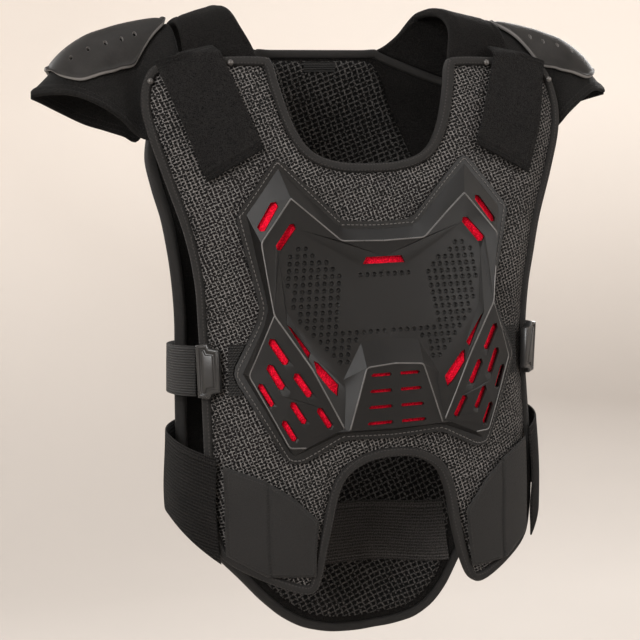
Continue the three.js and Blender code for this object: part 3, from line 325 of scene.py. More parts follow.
def closed_curve(half, tension, step):
    """A smooth closed outline through a half outline and its mirror image, in even steps."""
    half = np.asarray(half, float)
    points = np.vstack([half, half[half[:, 0] > 1e-9][::-1] * (-1, 1)])
    before, after, next_one = np.roll(points, 1, 0), np.roll(points, -1, 0), np.roll(points, -2, 0)
    t = np.linspace(0, 1, 24, endpoint=False)[None, :, None]
    leave, arrive = tension * (after - before)[:, None], tension * (next_one - points)[:, None]
    a, b = points[:, None], after[:, None]
    curve = (a + leave * t + (3 * (b - a) - 2 * leave - arrive) * t**2
             + (2 * (a - b) + leave + arrive) * t**3)
    return even_steps(curve.reshape(-1, 2), step)


def even_steps(curve, step):
    loop = np.vstack([curve, curve[:1]])
    run = run_along(loop)
    at = np.linspace(0, run[-1], int(round(run[-1] / step)), endpoint=False)
    return np.stack([np.interp(at, run, loop[:, k]) for k in (0, 1)], -1)


def moved_in(outline, distance):
    """The same outline moved towards its inside."""
    ahead, back = np.roll(outline, -1, 0), np.roll(outline, 1, 0)
    run = ahead - back
    normal = np.stack([-run[:, 1], run[:, 0]], -1) / np.linalg.norm(run, axis=1)[:, None]
    area = (outline[:, 0] * ahead[:, 1] - ahead[:, 0] * outline[:, 1]).sum()
    return outline + normal * distance * np.sign(area)


def distance_to(points, outline):
    best = np.full(len(points), np.inf)
    ends = np.roll(outline, -1, 0)
    for a, b in zip(outline, ends):
        run = b - a
        t = np.clip(((points - a) @ run) / max(run @ run, 1e-12), 0, 1)
        best = np.minimum(best, np.linalg.norm(points - a - t[:, None] * run, axis=1))
    return best


def inside(points, outline):
    x, z = points[:, 0], points[:, 1]
    odd = np.zeros(len(points), bool)
    for (ax, az), (bx, bz) in zip(outline, np.roll(outline, -1, 0)):
        crosses = (az > z) != (bz > z)
        odd ^= crosses & (x < (bx - ax) * (z - az) / (bz - az + 1e-12) + ax)
    return odd


def new_piece(name, points, faces, weave, rim):
    """A piece from points in millimetres, with its weave map and its distance to the rim."""
    piece = link_mesh(name, askew(points), faces)
    mesh = piece.data
    corners = np.empty(len(mesh.loops), int)
    mesh.loops.foreach_get("vertex_index", corners)
    layer = mesh.uv_layers.new(name="weave")
    layer.data.foreach_set("uv", (np.asarray(weave) * MM)[corners].ravel())
    mesh.attributes.new("rim", "FLOAT", "POINT").data.foreach_set("value", rim * MM)
    mesh.validate()
    return piece


def face_out(piece):
    made = bmesh.new()
    made.from_mesh(piece.data)
    bmesh.ops.recalc_face_normals(made, faces=made.faces)
    made.to_mesh(piece.data)
    made.free()


def weld(piece, gap):
    """Joins points that lie less than a gap apart, in metres."""
    made = bmesh.new()
    made.from_mesh(piece.data)
    bmesh.ops.remove_doubles(made, verts=made.verts, dist=gap)
    made.to_mesh(piece.data)
    made.free()


def pick(*pieces):
    """Selects the pieces, the first of them active."""
    bpy.ops.object.select_all(action="DESELECT")
    bpy.context.view_layer.objects.active = pieces[0]
    for piece in pieces:
        piece.select_set(True)


def smooth_below(piece, degrees):
    pick(piece)
    bpy.ops.object.shade_smooth_by_angle(angle=math.radians(degrees))


def finish_with(piece, kind, name, **settings):
    """Adds a modifier and applies it at once."""
    modifier = piece.modifiers.new(name, kind)
    for key, value in settings.items():
        setattr(modifier, key, value)
    pick(piece)
    bpy.ops.object.modifier_apply(modifier=modifier.name)


def settle(piece, finish, slot, *nodes):
    """The piece gets its finish and its place in the frame."""
    piece.data.materials.clear()
    piece.data.materials.append(finish.material)
    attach(piece, "root")
    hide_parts(*nodes)
    return piece


def cut_panel(name, outline, spacing, outer, inner, side, sign=1):
    """A closed padded sheet within an outline: outer and inner give points from x, z and the
    distance to the edge. A negative sign mirrors it."""
    low, high = outline.min(0), outline.max(0)
    rows = np.arange(low[1], high[1], spacing * 0.866)
    grid = np.array([(x + (spacing / 2 if k % 2 else 0), z)
                     for k, z in enumerate(rows) for x in np.arange(low[0], high[0], spacing)])
    grid = grid[inside(grid, outline)]
    grid = grid[distance_to(grid, outline) > 0.55 * spacing]
    flat = np.vstack([outline, grid])
    count = len(outline)
    result = delaunay_2d_cdt([Vector(p) for p in flat], [], [list(range(count))], 1, 1e-5)
    flat = np.array([tuple(p) for p in result[0]])
    depth = distance_to(flat, outline)
    triangles = [tuple(f) for f in result[2]]
    total = len(flat)
    sides = dict.fromkeys(pair for a, b, c in triangles for pair in ((a, b), (b, c), (c, a)))
    faces = triangles + [(c + total, b + total, a + total) for a, b, c in triangles]
    faces += [(b, a, a + total, b + total) for a, b in sides if (b, a) not in sides]
    points = np.vstack([outer(flat[:, 0], flat[:, 1], depth), inner(flat[:, 0], flat[:, 1], depth)])
    points[:, 0] *= sign
    run = np.stack([arc_along(flat[:, 0], flat[:, 1], side), flat[:, 1]], -1)
    piece = new_piece(name, points, faces, np.vstack([run, run]), np.concatenate([depth, depth]))
    face_out(piece)
    return piece


def sweep(name, path, outward, across, profile, closed=True):
    """A band along a path: at each point the profile lies in the plane of the two directions."""
    count, ring = len(path), len(profile)
    points = (path[:, None] + across[:, None] * profile[None, :, 0, None]
              + outward[:, None] * profile[None, :, 1, None]).reshape(-1, 3)
    faces = tube_faces(count, ring, closed=closed)
    if not closed:
        faces += [tuple(range(ring))[::-1], tuple(range((count - 1) * ring, count * ring))]
    piece = link_mesh(name, askew(points), faces)
    run = run_along(np.vstack([path, path[:1]]))
    uv = []
    for face in piece.data.polygons:
        corners = [divmod(c, ring) for c in face.vertices]
        stations, turns = ([c[k] for c in corners] for k in (0, 1))
        wraps = closed and max(stations) - min(stations) > 1
        turns_over = len(corners) == 4 and max(turns) - min(turns) > 1
        for station, turn in corners:
            s = run[count] if wraps and station == 0 else run[station]
            uv.append((s * MM, 1.0 if turns_over and turn == 0 else turn / ring))
    piece.data.uv_layers.new(name="weave").data.foreach_set("uv", np.array(uv).ravel())
    face_out(piece)
    return piece


def rounded(half_width, half_height, power, count):
    """The outline of a bar's section with rounded corners."""
    a = full_turn(count)
    c, s = np.cos(a), np.sin(a)
    return np.stack([half_width * np.sign(c) * np.abs(c) ** (2 / power),
                     half_height * np.sign(s) * np.abs(s) ** (2 / power)], -1)


def bind_edge(name, outline, side, grow, half_width, half_height):
    """Tape folded round the edge of a panel, along its outline."""
    def at(dx, dz):
        return on_torso(outline[:, 0] + dx, outline[:, 1] + dz, side, grow)

    nudge = 0.5
    path = at(0, 0)
    tangent = unit(np.roll(path, -1, 0) - np.roll(path, 1, 0))
    normal = unit(np.cross(at(nudge, 0) - at(-nudge, 0), at(0, nudge) - at(0, -nudge)))
    normal *= np.sign(normal[:, 1] * side)[:, None]
    across = unit(np.cross(tangent, normal))
    return sweep(name, path, normal, across, rounded(half_width, half_height, 3.2, 20))


# Front panel: foam under a black air mesh, cut with two shoulder tabs, a scooped neck and an
# arch between two legs. The mesh is a knit with small open cells, its threads painted lighter as a highlight.
FRONT_HALF = np.array([
    (0, 0.202), (0.12, 0.2), (0.22, 0.19), (0.29, 0.172), (0.34, 0.14), (0.375, 0.1), (0.405, 0.05),
    (0.425, 0.012), (0.47, 0), (0.7, 0), (0.91, 0.008), (0.98, 0.035), (1, 0.085), (0.975, 0.14),
    (0.915, 0.22), (0.84, 0.32), (0.805, 0.41), (0.8, 0.5), (0.805, 0.62), (0.81, 0.74), (0.81, 0.83),
    (0.79, 0.89), (0.74, 0.93), (0.6, 0.968), (0.46, 0.995), (0.39, 0.995), (0.35, 0.965), (0.3, 0.885),
    (0.265, 0.82), (0.22, 0.782), (0.14, 0.76), (0.06, 0.752), (0, 0.751),
])
FRONT_WIDE, FRONT_TOP, FRONT_LONG, FRONT_THICK = 206, 41, 494, 9
PANEL_IN, PANEL_GRID = 5.5, 5.0


def front_place(p):
    return np.asarray(p, float) * (FRONT_WIDE, -FRONT_LONG) - (0, FRONT_TOP)


def air_mesh(name, pitch, thread, ground, bump):
    """Knitted mesh: small open cells in a staggered grid, with a painted highlight on the threads, strongest
    where they cross.
    """
    finish = Finish(name, Specular_IOR_Level=0.12)
    place, u, v = finish.weave()
    loose = (finish.noise(place, 110, 2) - 0.5) * (pitch * 0.55)
    u, v = u + loose, v + loose * 0.7
    a, b = u * 0.94 + v * 0.34, v * 0.94 - u * 0.34
    net = a.maths("MAXIMUM", a.wave(pitch), b.wave(pitch * 0.8))
    cross = net.between(0.0, 0.95)
    strand = (a + b * 0.4).wave(pitch * 0.33)
    painted_sheen = finish.noise(place, 17, 4)
    knot = finish.noise(place, 520, 3, 0.65)
    fibre = finish.noise(place, 1300, 2)
    # Painted highlight: the threads' colour runs from the dark ground to the light thread tone, strongest
    # where they cross and varied in patches.
    lit = (cross * 0.85 + 0.15 * strand) * knot.between(0.36, 0.64)
    lit = lit * (0.4 + 1.1 * painted_sheen) * (0.5 + 1.0 * fibre)
    finish.coat(lit.between(0.05, 0.75), ground, thread, cross + 0.25 * fibre, bump,
                Roughness=0.9 - 0.3 * cross)
    return finish


front_edge = closed_curve(front_place(FRONT_HALF), 0.5, 3.0)


def ripple(x, z, size, seed):
    """Shallow waves of soft padding."""
    return (np.sin(x / size + seed) * np.cos(z / size * 1.3 + seed * 2)
            + 0.6 * np.sin((x + z) / size * 1.7 + seed * 3)) / 1.6


def front_outer(x, z, depth):
    t = eased(depth / 16)
    return on_torso(x, z, -1, -2.6 * (1 - t) - 0.2 + 0.15 * t * ripple(x, z, 23, 1))


def front_inner(x, z, depth):
    return on_torso(x, z, -1, -FRONT_THICK + 2.0 * (1 - eased(depth / 12)))


front_panel = cut_panel("front_panel_mesh", moved_in(front_edge, PANEL_IN), PANEL_GRID,
                        front_outer, front_inner, -1)
# The thread tone is the mesh's painted highlight.
front_mesh = air_mesh("air_mesh_black", 0.0038, (0.15, 0.142, 0.137), (0.0045, 0.0042, 0.0041), 0.0008)
settle(front_panel, front_mesh, "air_mesh", "front_panel")


# Edge tapes: black woven tape folded round the panels' edges and sewn through with two rows
# of stitches. A rounded section swept along each outline, with the rows in its finish.
tape = Finish("binding_tape_black", Roughness=0.75, Specular_IOR_Level=0.15)
place, along, around = tape.weave()
TAPE_IN, TAPE_HALF = 4.0, (4.5, 5.7)
ribs = along.wave(0.0012)
face_side = (around - 0.25).size()
rows = 1 - (face_side - 0.075).size().between(0.012, 0.03)
stitch = rows * ((along / 0.0032).fraction() - 0.5).size().between(0.32, 0.12)
grain = tape.noise(place, 60, 3)
tape.coat(stitch * 0.3 + 0.25 * grain + 0.08 * ribs, (0.0085, 0.0082, 0.008), (0.075, 0.07, 0.067),
          0.35 * ribs + 0.7 * stitch, 0.0004)

front_binding = bind_edge("front_edge_tape", moved_in(front_edge, TAPE_IN), -1, -FRONT_THICK / 2, *TAPE_HALF)
settle(front_binding, tape, "binding_tape", "front_binding")


# Back panel: foam in smooth black knit, longer than the front, with a round bottom. Its
# outer face is plain, pressed a little into long channels by the lining seams.
BACK_HALF = np.array([
    (0, 0), (0.15, 0), (0.27, 0), (0.34, -0.001), (0.37, 0.005), (0.6, 0.034), (0.84, 0.063),
    (0.88, 0.075), (0.95, 0.13), (0.98, 0.18), (0.955, 0.23), (0.92, 0.28), (0.9, 0.36),
    (0.9, 0.45), (0.915, 0.55), (0.92, 0.64), (0.915, 0.7), (0.885, 0.755), (0.83, 0.802),
    (0.75, 0.842), (0.64, 0.886), (0.545, 0.925), (0.44, 0.958), (0.32, 0.982), (0.17, 0.996), (0, 1),
])
BACK_WIDE, BACK_TOP, BACK_LONG, BACK_THICK = 187, 18, 590, 9


def back_place(p):
    return np.asarray(p, float) * (BACK_WIDE, -BACK_LONG) - (0, BACK_TOP)


knit = Finish("smooth_knit_black", Specular_IOR_Level=0.03)
place = knit.place()
fine = knit.noise(place, 800, 2).between(0.33, 0.67)
broad = knit.noise(place, 22, 4)
knit.coat(0.35 * broad + 0.6 * fine, (0.0015, 0.0014, 0.0013), (0.0165, 0.0156, 0.015), fine + 0.6 * broad,
          0.0006, Roughness=0.68 + 0.2 * fine)

back_edge = closed_curve(back_place(BACK_HALF), 0.4, 3.0)


def back_outer(x, z, depth):
    channel = np.exp(-((np.abs(x) - 62) / 3.0) ** 2) * eased((depth - 20) / 25)
    t = eased(depth / 22)
    return on_torso(x, z, 1, -3.0 * (1 - t) + 0.5 * t * ripple(x, z, 34, 2) - 1.6 * channel)


def back_inner(x, z, depth):
    return on_torso(x, z, 1, -BACK_THICK + 2.0 * (1 - eased(depth / 12)))


back_panel = cut_panel("back_panel_knit", moved_in(back_edge, PANEL_IN), PANEL_GRID, back_outer, back_inner, 1)
settle(back_panel, knit, "padded_cloth", "back_panel")

back_binding = bind_edge("back_edge_tape", moved_in(back_edge, TAPE_IN), 1, -BACK_THICK / 2, *TAPE_HALF)
settle(back_binding, tape, "binding_tape", "back_binding")


# Back pad: honeycomb spacer mesh sewn to the inner face of the back. A thin closed sheet
# within a rounded outline, pressed down along its edge.
PAD_HALF = np.array([
    (0, 0.02), (0.27, 0.02), (0.35, 0.042), (0.42, 0.1), (0.58, 0.22), (0.68, 0.36), (0.7, 0.52),
    (0.7, 0.68), (0.64, 0.8), (0.5, 0.9), (0.28, 0.96), (0, 0.974),
])
pad_edge = closed_curve(back_place(PAD_HALF), 0.4, 4.0)
back_pad = cut_panel("back_pad_mesh", pad_edge, 5.5, lambda x, z, depth: on_torso(x, z, 1, -9.5),
                     lambda x, z, depth: on_torso(x, z, 1, -10.6 - 2.8 * eased(depth / 7)), 1)
# The thread tone is the spacer mesh's painted highlight.
pad_mesh = air_mesh("spacer_mesh_black", 0.0062, (0.06, 0.057, 0.055), (0.002, 0.0019, 0.0018), 0.0012)
settle(back_pad, pad_mesh, "pad_mesh", "back_pad")


# Chest plate: moulded satin black plastic with a sewn flange, ridges, slots and two fields of
# small countersunk holes. The solid's edges are bevelled and the holes are cut blind.
plastic = Finish("moulded_plastic_black", Specular_IOR_Level=0.22)
place = plastic.place()
grit = plastic.noise(place, 1500, 2)
smear = plastic.noise(place, 18, 4)
plastic.coat(0.5 * smear + 0.3 * grit, (0.0045, 0.0043, 0.0042), (0.013, 0.0123, 0.0119), grit, 0.00008,
             Roughness=0.28 + 0.16 * smear + 0.08 * grit)


def solid_copy(node, name):
    """The node's own solid, with its points joined."""
    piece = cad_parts[node].copy()
    piece.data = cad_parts[node].data.copy()
    piece.name = name
    bpy.context.scene.collection.objects.link(piece)
    weld(piece, 1e-6)
    return piece


PIN_SIDES, PIN_HEAD, PIN_RIM = 12, 1.2, 0.02


def cutter(name, shapes):
    """Oval or round pins, one mesh: centre, direction, up, half width, half height, depth, taper."""
    points, faces = [], []
    for centre, out, up, wide, high, deep, taper in shapes:
        over = np.cross(up, out)
        start = len(points)
        for level, size in ((PIN_HEAD, 1 + PIN_HEAD * (1 - taper) / deep), (-deep, taper)):
            points += [centre + out * level + over * (math.cos(a) * wide * size)
                       + up * (math.sin(a) * high * size) for a in full_turn(PIN_SIDES)]
        faces += tube_faces(2, PIN_SIDES, start)
        faces += [tuple(range(start, start + PIN_SIDES)), tuple(range(start + PIN_SIDES, len(points)))[::-1]]
    pin = link_mesh(name, points, faces, smooth=False)
    values = pin.data.attributes.new("rim", "FLOAT", "POINT").data
    values.foreach_set("value", np.full(len(points), PIN_RIM))
    face_out(pin)
    return pin


def cut_out(piece, pins):
    finish_with(piece, "BOOLEAN", "cut", object=pins, operation="DIFFERENCE", solver="EXACT")
    bpy.data.objects.remove(pins)


PLATE_WIDE, PLATE_LONG, PLATE_TOP = 142, 276, 135
plate = solid_copy("chest_plate", "chest_plate_shell")
finish_with(plate, "BEVEL", "edge", width=0.0008, segments=3, limit_method="ANGLE",
            angle_limit=math.radians(20), harden_normals=False)
PLATE_HALF = np.array([
    (0, 0.215), (0.22, 0.21), (0.265, 0.197), (0.61, 0.012), (0.65, 0), (0.69, 0.014), (0.91, 0.165),
    (0.93, 0.19), (0.83, 0.445), (0.82, 0.484), (0.845, 0.53), (0.99, 0.67), (1, 0.695), (0.985, 0.725),
    (0.74, 0.97),
    (0.69, 0.996), (0.6, 0.996), (0.37, 0.938), (0.31, 0.932), (0, 0.938),
])
FIELD_HALF = np.array([
    (0, 0.37), (0.158, 0.37), (0.26, 0.392), (0.53, 0.25), (0.697, 0.325), (0.673, 0.498), (0.335, 0.73),
    (0.2, 0.613), (0, 0.605),
])


def plate_place(p):
    return p * (PLATE_WIDE, -PLATE_LONG) - (0, PLATE_TOP)


def on_plate(tree, spot):
    """Where the plate's front lies at a point of its plan, and which way it faces."""
    at = askew((spot[0], 0.0, spot[1])) * MM
    hit, normal, _, _ = tree.ray_cast(Vector((at[0], -0.4, at[2])), Vector((0, 1, 0)))
    return np.array(hit) / MM, np.array(normal)


tree = BVHTree.FromPolygons([v.co for v in plate.data.vertices],
                            [tuple(p.vertices) for p in plate.data.polygons])
half = plate_place(FIELD_HALF)
field = np.vstack([half, half[half[:, 0] > 0][::-1] * (-1, 1)])
HOLE_PITCH, HOLE_ROW, HOLE_LEAN, HOLE_RADIUS, HOLE_DEEP = 6.8, 6.5, 1.0, 2.2, 1.5
FIELD_EDGE, FIRST_ROW, STEEP = 3.6, -242.6, -0.75
spots = []
for row in range(-5, 15):
    for column in range(-4, 20):
        x, z = HOLE_PITCH * (column + 0.5) + HOLE_LEAN * row, FIRST_ROW - HOLE_ROW * row
        bare = -290 < z < -246 and x < 44 + 0.15 * (-249 - z)
        if x > 3 and not bare:
            spots += [(x, z), (-x, z)]
spots = np.array(spots)
spots = spots[inside(spots, field)]
spots = spots[distance_to(spots, field) > FIELD_EDGE]
pins = []
for spot in spots:
    centre, out = on_plate(tree, spot)
    if out[1] <= STEEP:
        pins.append((centre, out, unit(np.cross(out, (1, 0, 0))), HOLE_RADIUS, HOLE_RADIUS, HOLE_DEEP, 0.5))
cut_out(plate, cutter("plate_pins", pins))
smooth_below(plate, 16)
finish_with(plate, "WEIGHTED_NORMAL", "even_light", keep_sharp=True)
settle(plate, plastic, "moulded_plate", "chest_plate")


# Chest plate's seam: grey cotton thread in long stitches round the flange, each a short rod
# with tapered ends laid on the plate.
STITCH_PITCH, STITCH_LONG, STITCH_IN, STITCH_LIFT, THREAD_RADIUS, ROD_SIDES = 4.2, 2.9, 3.4, 0.2, 0.45, 8
STITCH_SHAPE = ((-1, 0.4), (-0.75, 1), (0.75, 1), (1, 0.4))


def rods(name, lines, radius, shape):
    """Short round rods in one mesh. Each line has its middle, its run and the way it faces."""
    points, faces = [], []
    for middle, run, out in lines:
        over = np.cross(out, unit(run))
        start = len(points)
        for share, size in shape:
            points += [middle + run * share / 2 + (over * math.cos(a) + out * math.sin(a)) * radius * size
                       for a in full_turn(ROD_SIDES)]
        faces += tube_faces(len(shape), ROD_SIDES, start)
        faces += [tuple(range(start, start + ROD_SIDES)), tuple(range(len(points) - ROD_SIDES, len(points)))]
    piece = link_mesh(name, points, faces)
    for face in piece.data.polygons:
        face.use_smooth = len(face.vertices) == 4
    face_out(piece)
    return piece


seam = moved_in(closed_curve(plate_place(PLATE_HALF), 0.35, STITCH_PITCH), STITCH_IN)
sewn = []
for spot, ahead in zip(seam, np.roll(seam, -1, 0)):
    here, out = on_plate(tree, spot)
    run = askew((ahead[0], 0, ahead[1])) - askew((spot[0], 0, spot[1]))
    run -= out * (run @ out)
    sewn.append((here + out * STITCH_LIFT, unit(run) * STITCH_LONG, out))
thread = rods("chest_plate_stitches", sewn, THREAD_RADIUS, STITCH_SHAPE)
cotton = Finish("thread_grey", Roughness=0.8, Specular_IOR_Level=0.2)
place = cotton.place()
twist = cotton.noise(place, 1500, 2)
cotton.coat(twist, (0.05, 0.0475, 0.0455), (0.14, 0.133, 0.127), twist, 0.0001)
settle(thread, cotton, "moulded_plate", "chest_plate")


# Chest plate's ridges: thin beads of the same plastic laid along the bends of the plate, coloured
# lighter as a painted highlight along the crests.
crest_highlight = Finish("moulded_plastic_painted_highlight", Specular_IOR_Level=0.7)
place = crest_highlight.place()
crest_noise = crest_highlight.noise(place, 90, 3)
# Painted highlight: the beads are coloured lighter than the plate, so that their crests read as bright lines.
crest_highlight.coat(crest_noise, (0.02, 0.019, 0.0183), (0.12, 0.114, 0.11), crest_noise, 0.00005, Roughness=0.2 + 0.25 * crest_noise)
BEAD_STEP, BEAD_HALF = 2.4, (0.75, 0.55)
RIDGES = [
    [(0.602, 0.13), (0.81, 0.271), (0.789, 0.383), (0.764, 0.507), (0.55, 0.686), (0.352, 0.89)],
    [(0.602, 0.13), (0.289, 0.275), (0, 0.28)],
    [(0.764, 0.507), (0.925, 0.7), (0.705, 0.942), (0.6, 0.945)],
    [(0, 0.685), (0.197, 0.693), (0.325, 0.898)],
]
beads = []
for line in RIDGES:
    for _, sign in SIDES:
        corners = plate_place(np.array(line, float)) * (sign, 1)
        run = run_along(corners)
        at = np.arange(0, run[-1], BEAD_STEP)
        plan = np.stack([np.interp(at, run, corners[:, k]) for k in (0, 1)], -1)
        plan[1:-1] = (plan[:-2] + 2 * plan[1:-1] + plan[2:]) / 4
        hits = [on_plate(tree, spot) for spot in plan]
        depth = np.array([hit[0][1] for hit in hits])
        depth[1:-1] = np.minimum(depth[1:-1], (depth[:-2] + depth[2:]) / 2)
        normal = np.array([hit[1] for hit in hits])
        normal[1:-1] = normal[:-2] + normal[1:-1] + normal[2:]
        normal = unit(normal)
        path = np.stack([plan[:, 0], depth, plan[:, 1]], -1)
        along = np.gradient(path, axis=0)
        along -= normal * (along * normal).sum(1)[:, None]
        across = unit(np.cross(along, normal))
        beads.append(sweep("bead", path, normal, across, rounded(*BEAD_HALF, 2, 8), closed=False))
pick(*beads)
bpy.ops.object.join()
beads[0].name = "chest_plate_beads"
settle(beads[0], crest_highlight, "moulded_plate", "chest_plate")


# Chest plate's hole rims: a fine raised ring of the same plastic round each small hole, made
# as a thin torus.
RIM_STEPS, RIM_SIDES, RIM_OUT, RIM_RADIUS = 14, 6, 0.15, 0.34
points, faces = [], []
for centre, out, up, wide, _, _, _ in pins:
    over = np.cross(up, out)
    start = len(points)
    for a in full_turn(RIM_STEPS):
        away = over * math.cos(a) + up * math.sin(a)
        points += [centre + away * (wide + RIM_OUT + RIM_RADIUS * math.cos(b)) + out * RIM_RADIUS * math.sin(b)
                   for b in full_turn(RIM_SIDES)]
    faces += tube_faces(RIM_STEPS, RIM_SIDES, start, closed=True)
rims = link_mesh("chest_plate_hole_rims", points, faces)
face_out(rims)
settle(rims, plastic, "moulded_plate", "chest_plate")


# Vent cloth: saturated red woven cloth behind the plate's slots. The thin solid itself, with
# the weave in its finish.
red = Finish("vent_cloth_red", Roughness=0.8, Specular_IOR_Level=0.08)
place = red.place()
weft = red.noise(place, 700, 2).between(0.35, 0.65)
red.coat(weft, (0.48, 0.002, 0.014), (0.95, 0.006, 0.035), weft, 0.0006)
liner = solid_copy("vent_liner", "vent_cloth")
settle(liner, red, "vent_cloth", "vent_liner")


def cloth(piece, *under):
    """Reads the two runs of a band of cloth from its weave map."""
    runs = np.empty(len(piece.data.loops) * 2)
    piece.data.uv_layers["weave"].data.foreach_get("uv", runs)


# Shoulder yokes: foam in smooth knit that arches from behind the front panel's tab to the
# back panel's seam. A sewn line runs along the neck side.
def even(count):
    return 0.5 - 0.5 * np.cos(np.linspace(0, math.pi, count + 1))


def sheet_piece(name, face, thick, counts, side, edge, proud=None, hem="uv"):
    """A sheet with rounded edges. face(u, v) gives its outer face for u and v from 0 to 1,
    proud lifts that face where a hem or bead is."""
    u, v = np.meshgrid(even(counts[0]), even(counts[1]), indexing="ij")
    middle = face(u, v)
    normal = np.cross(np.gradient(middle, axis=0), np.gradient(middle, axis=1))
    normal /= np.maximum(np.linalg.norm(normal, axis=2, keepdims=True), 1e-9)
    runs = []
    for axis in (0, 1):
        steps = np.linalg.norm(np.diff(middle, axis=axis), axis=2)
        pad = [(1, 0), (0, 0)] if axis == 0 else [(0, 0), (1, 0)]
        runs.append(np.cumsum(np.pad(steps, pad), axis=axis))
    ends = [np.minimum(runs[0], runs[0][-1:] - runs[0]),
            np.minimum(runs[1], runs[1][:, -1:] - runs[1])]
    nearest = np.minimum(*ends)
    rim = nearest if hem == "uv" else ends["uv".index(hem)]
    t = np.sqrt(np.clip(1 - (1 - np.clip(nearest / edge, 0, 1)) ** 2, 0, 1))[..., None]
    lift = 0.0 if proud is None else proud(rim, u, v, runs)[..., None] * t
    top = middle - normal * (thick / 2 * (1 - t) - lift)
    low = middle - normal * (thick - thick / 2 * (1 - t))
    cols, rows = counts
    points = np.concatenate([top.reshape(-1, 3), low.reshape(-1, 3)])
    at = lambda i, j, k: k * (cols + 1) * (rows + 1) + i * (rows + 1) + j
    faces = [(at(i, j, 0), at(i + 1, j, 0), at(i + 1, j + 1, 0), at(i, j + 1, 0))
             for i in range(cols) for j in range(rows)]
    faces += [(at(i, j + 1, 1), at(i + 1, j + 1, 1), at(i + 1, j, 1), at(i, j, 1))
              for i in range(cols) for j in range(rows)]
    points[:, 0] *= side
    weave = np.stack([runs[0], runs[1]], -1).reshape(-1, 2)
    piece = new_piece(name, points, faces, np.vstack([weave, weave]), np.tile(rim.ravel(), 2))
    weld(piece, 2e-6)
    face_out(piece)
    return piece


YOKE_INNER = np.array([
    (0, 0.44), (0.12, 0.475), (0.25, 0.515), (0.5, 0.508), (0.75, 0.447), (0.88, 0.38), (1, 0.305),
])
YOKE_THICK, YOKE_TOP, YOKE_CREST, YOKE_OUTER, YOKE_DROOP = 8, 22, 115, 165, 0.38
SHOULDER_Y, SET_BACK, NECK_X = 3, 38, 112
YOKE_FOOT, SEAM_LOW = FRONT_TOP + 30, 2.2
seam_from, seam_to = back_place((0.345, -0.001)), back_place((0.86, 0.062))


def crest_y(x):
    return SHOULDER_Y + SET_BACK * eased((YOKE_OUTER - x) / (YOKE_OUTER - NECK_X))


def yoke_top(x):
    return YOKE_TOP - YOKE_DROOP * np.abs(x - YOKE_CREST)


def yoke_front(x):
    return torso_depth(x, np.full_like(x, -FRONT_TOP), -1, -FRONT_THICK - 1.8)


def yoke_face(u, v):
    inner = smooth_read(YOKE_INNER[:, 0], YOKE_INNER[:, 1], v) * FRONT_WIDE
    x = inner + (YOKE_OUTER - inner) * u
    along = np.abs(np.cos(v * math.pi)) ** (2 / POWER)
    up = np.sin(v * math.pi).clip(0) ** (2 / POWER)
    share = (x - seam_from[0]) / (seam_to[0] - seam_from[0])
    seam = seam_from[1] + (seam_to[1] - seam_from[1]) * share - SEAM_LOW
    end_z = np.where(v < 0.5, -YOKE_FOOT, seam)
    end_y = np.where(v < 0.5, yoke_front(x), torso_depth(x, end_z, 1, 0))
    return np.stack([x, crest_y(x) + (end_y - crest_y(x)) * along,
                     end_z + (yoke_top(x) - end_z) * up], -1)


def yoke_soft(rim, u, v, runs):
    seam = np.exp(-((rim - 9) / 1.6) ** 2)
    return -1.0 * seam + 0.5 * ripple(runs[0], runs[1], 13, 2) * eased(rim / 14)


for side, sign in SIDES:
    yoke = sheet_piece(f"{side}_yoke_pad", yoke_face, YOKE_THICK, (30, 72), sign, 4, yoke_soft, "u")
    settle(yoke, knit, "padded_cloth", f"{side}_yoke")


# Shoulder wings: thin foam in knit that flares out from the yoke's edge to a point, with a
# turned hem sewn with two rows.
def stitches(rim, along, at, pitch=0.0036, wide=0.0005):
    """A row of stitches at a distance from the rim."""
    row = (rim - at).size().between(wide * 1.6, wide * 0.6)
    return row * ((along / pitch).fraction() - 0.5).size().between(0.4, 0.28)


quilted = Finish("hemmed_knit_black", Specular_IOR_Level=0.07)
place = quilted.place()
fine = quilted.noise(place, 800, 2).between(0.33, 0.67)
broad = quilted.noise(place, 26, 4)
along_u = quilted.weave()[1]
rim = quilted.read("rim")
sewn = stitches(rim, along_u, 0.0045) + stitches(rim, along_u, 0.0095)
crease = (rim - 0.007).size().between(0.0042, 0.002) * 0.35
quilted.coat(0.3 * broad + 0.5 * fine + 0.6 * sewn, (0.0018, 0.0017, 0.0016), (0.019, 0.0182, 0.0176),
             fine * 0.7 + 0.5 * broad + 1.1 * sewn + crease, 0.0005, Roughness=0.68 + 0.2 * fine)

WING = np.array([
    # share of the span, top line, front hem, rear hem, half depth, as shares of WING_DEEP
    (0, -0.005, -0.39, -0.48, 0.45), (0.1, -0.022, -0.67, -0.69, 0.41),
    (0.2, -0.043, -0.85, -0.83, 0.35), (0.3, -0.066, -0.85, -0.79, 0.318),
    (0.43, -0.1, -0.73, -0.74, 0.36), (0.57, -0.148, -0.63, -0.695, 0.375),
    (0.74, -0.255, -0.545, -0.625, 0.325), (0.88, -0.385, -0.52, -0.575, 0.21),
    (1, -0.5, -0.525, -0.54, 0.04),
])
WING_REACH, WING_DEEP, WING_THICK, WING_ROOT = 297, 129, 4, YOKE_OUTER + 1.2


def wing_read(x, column):
    return WING_DEEP * smooth_read(WING[:, 0], WING[:, column], (x - WING_ROOT) / (WING_REACH - WING_ROOT))


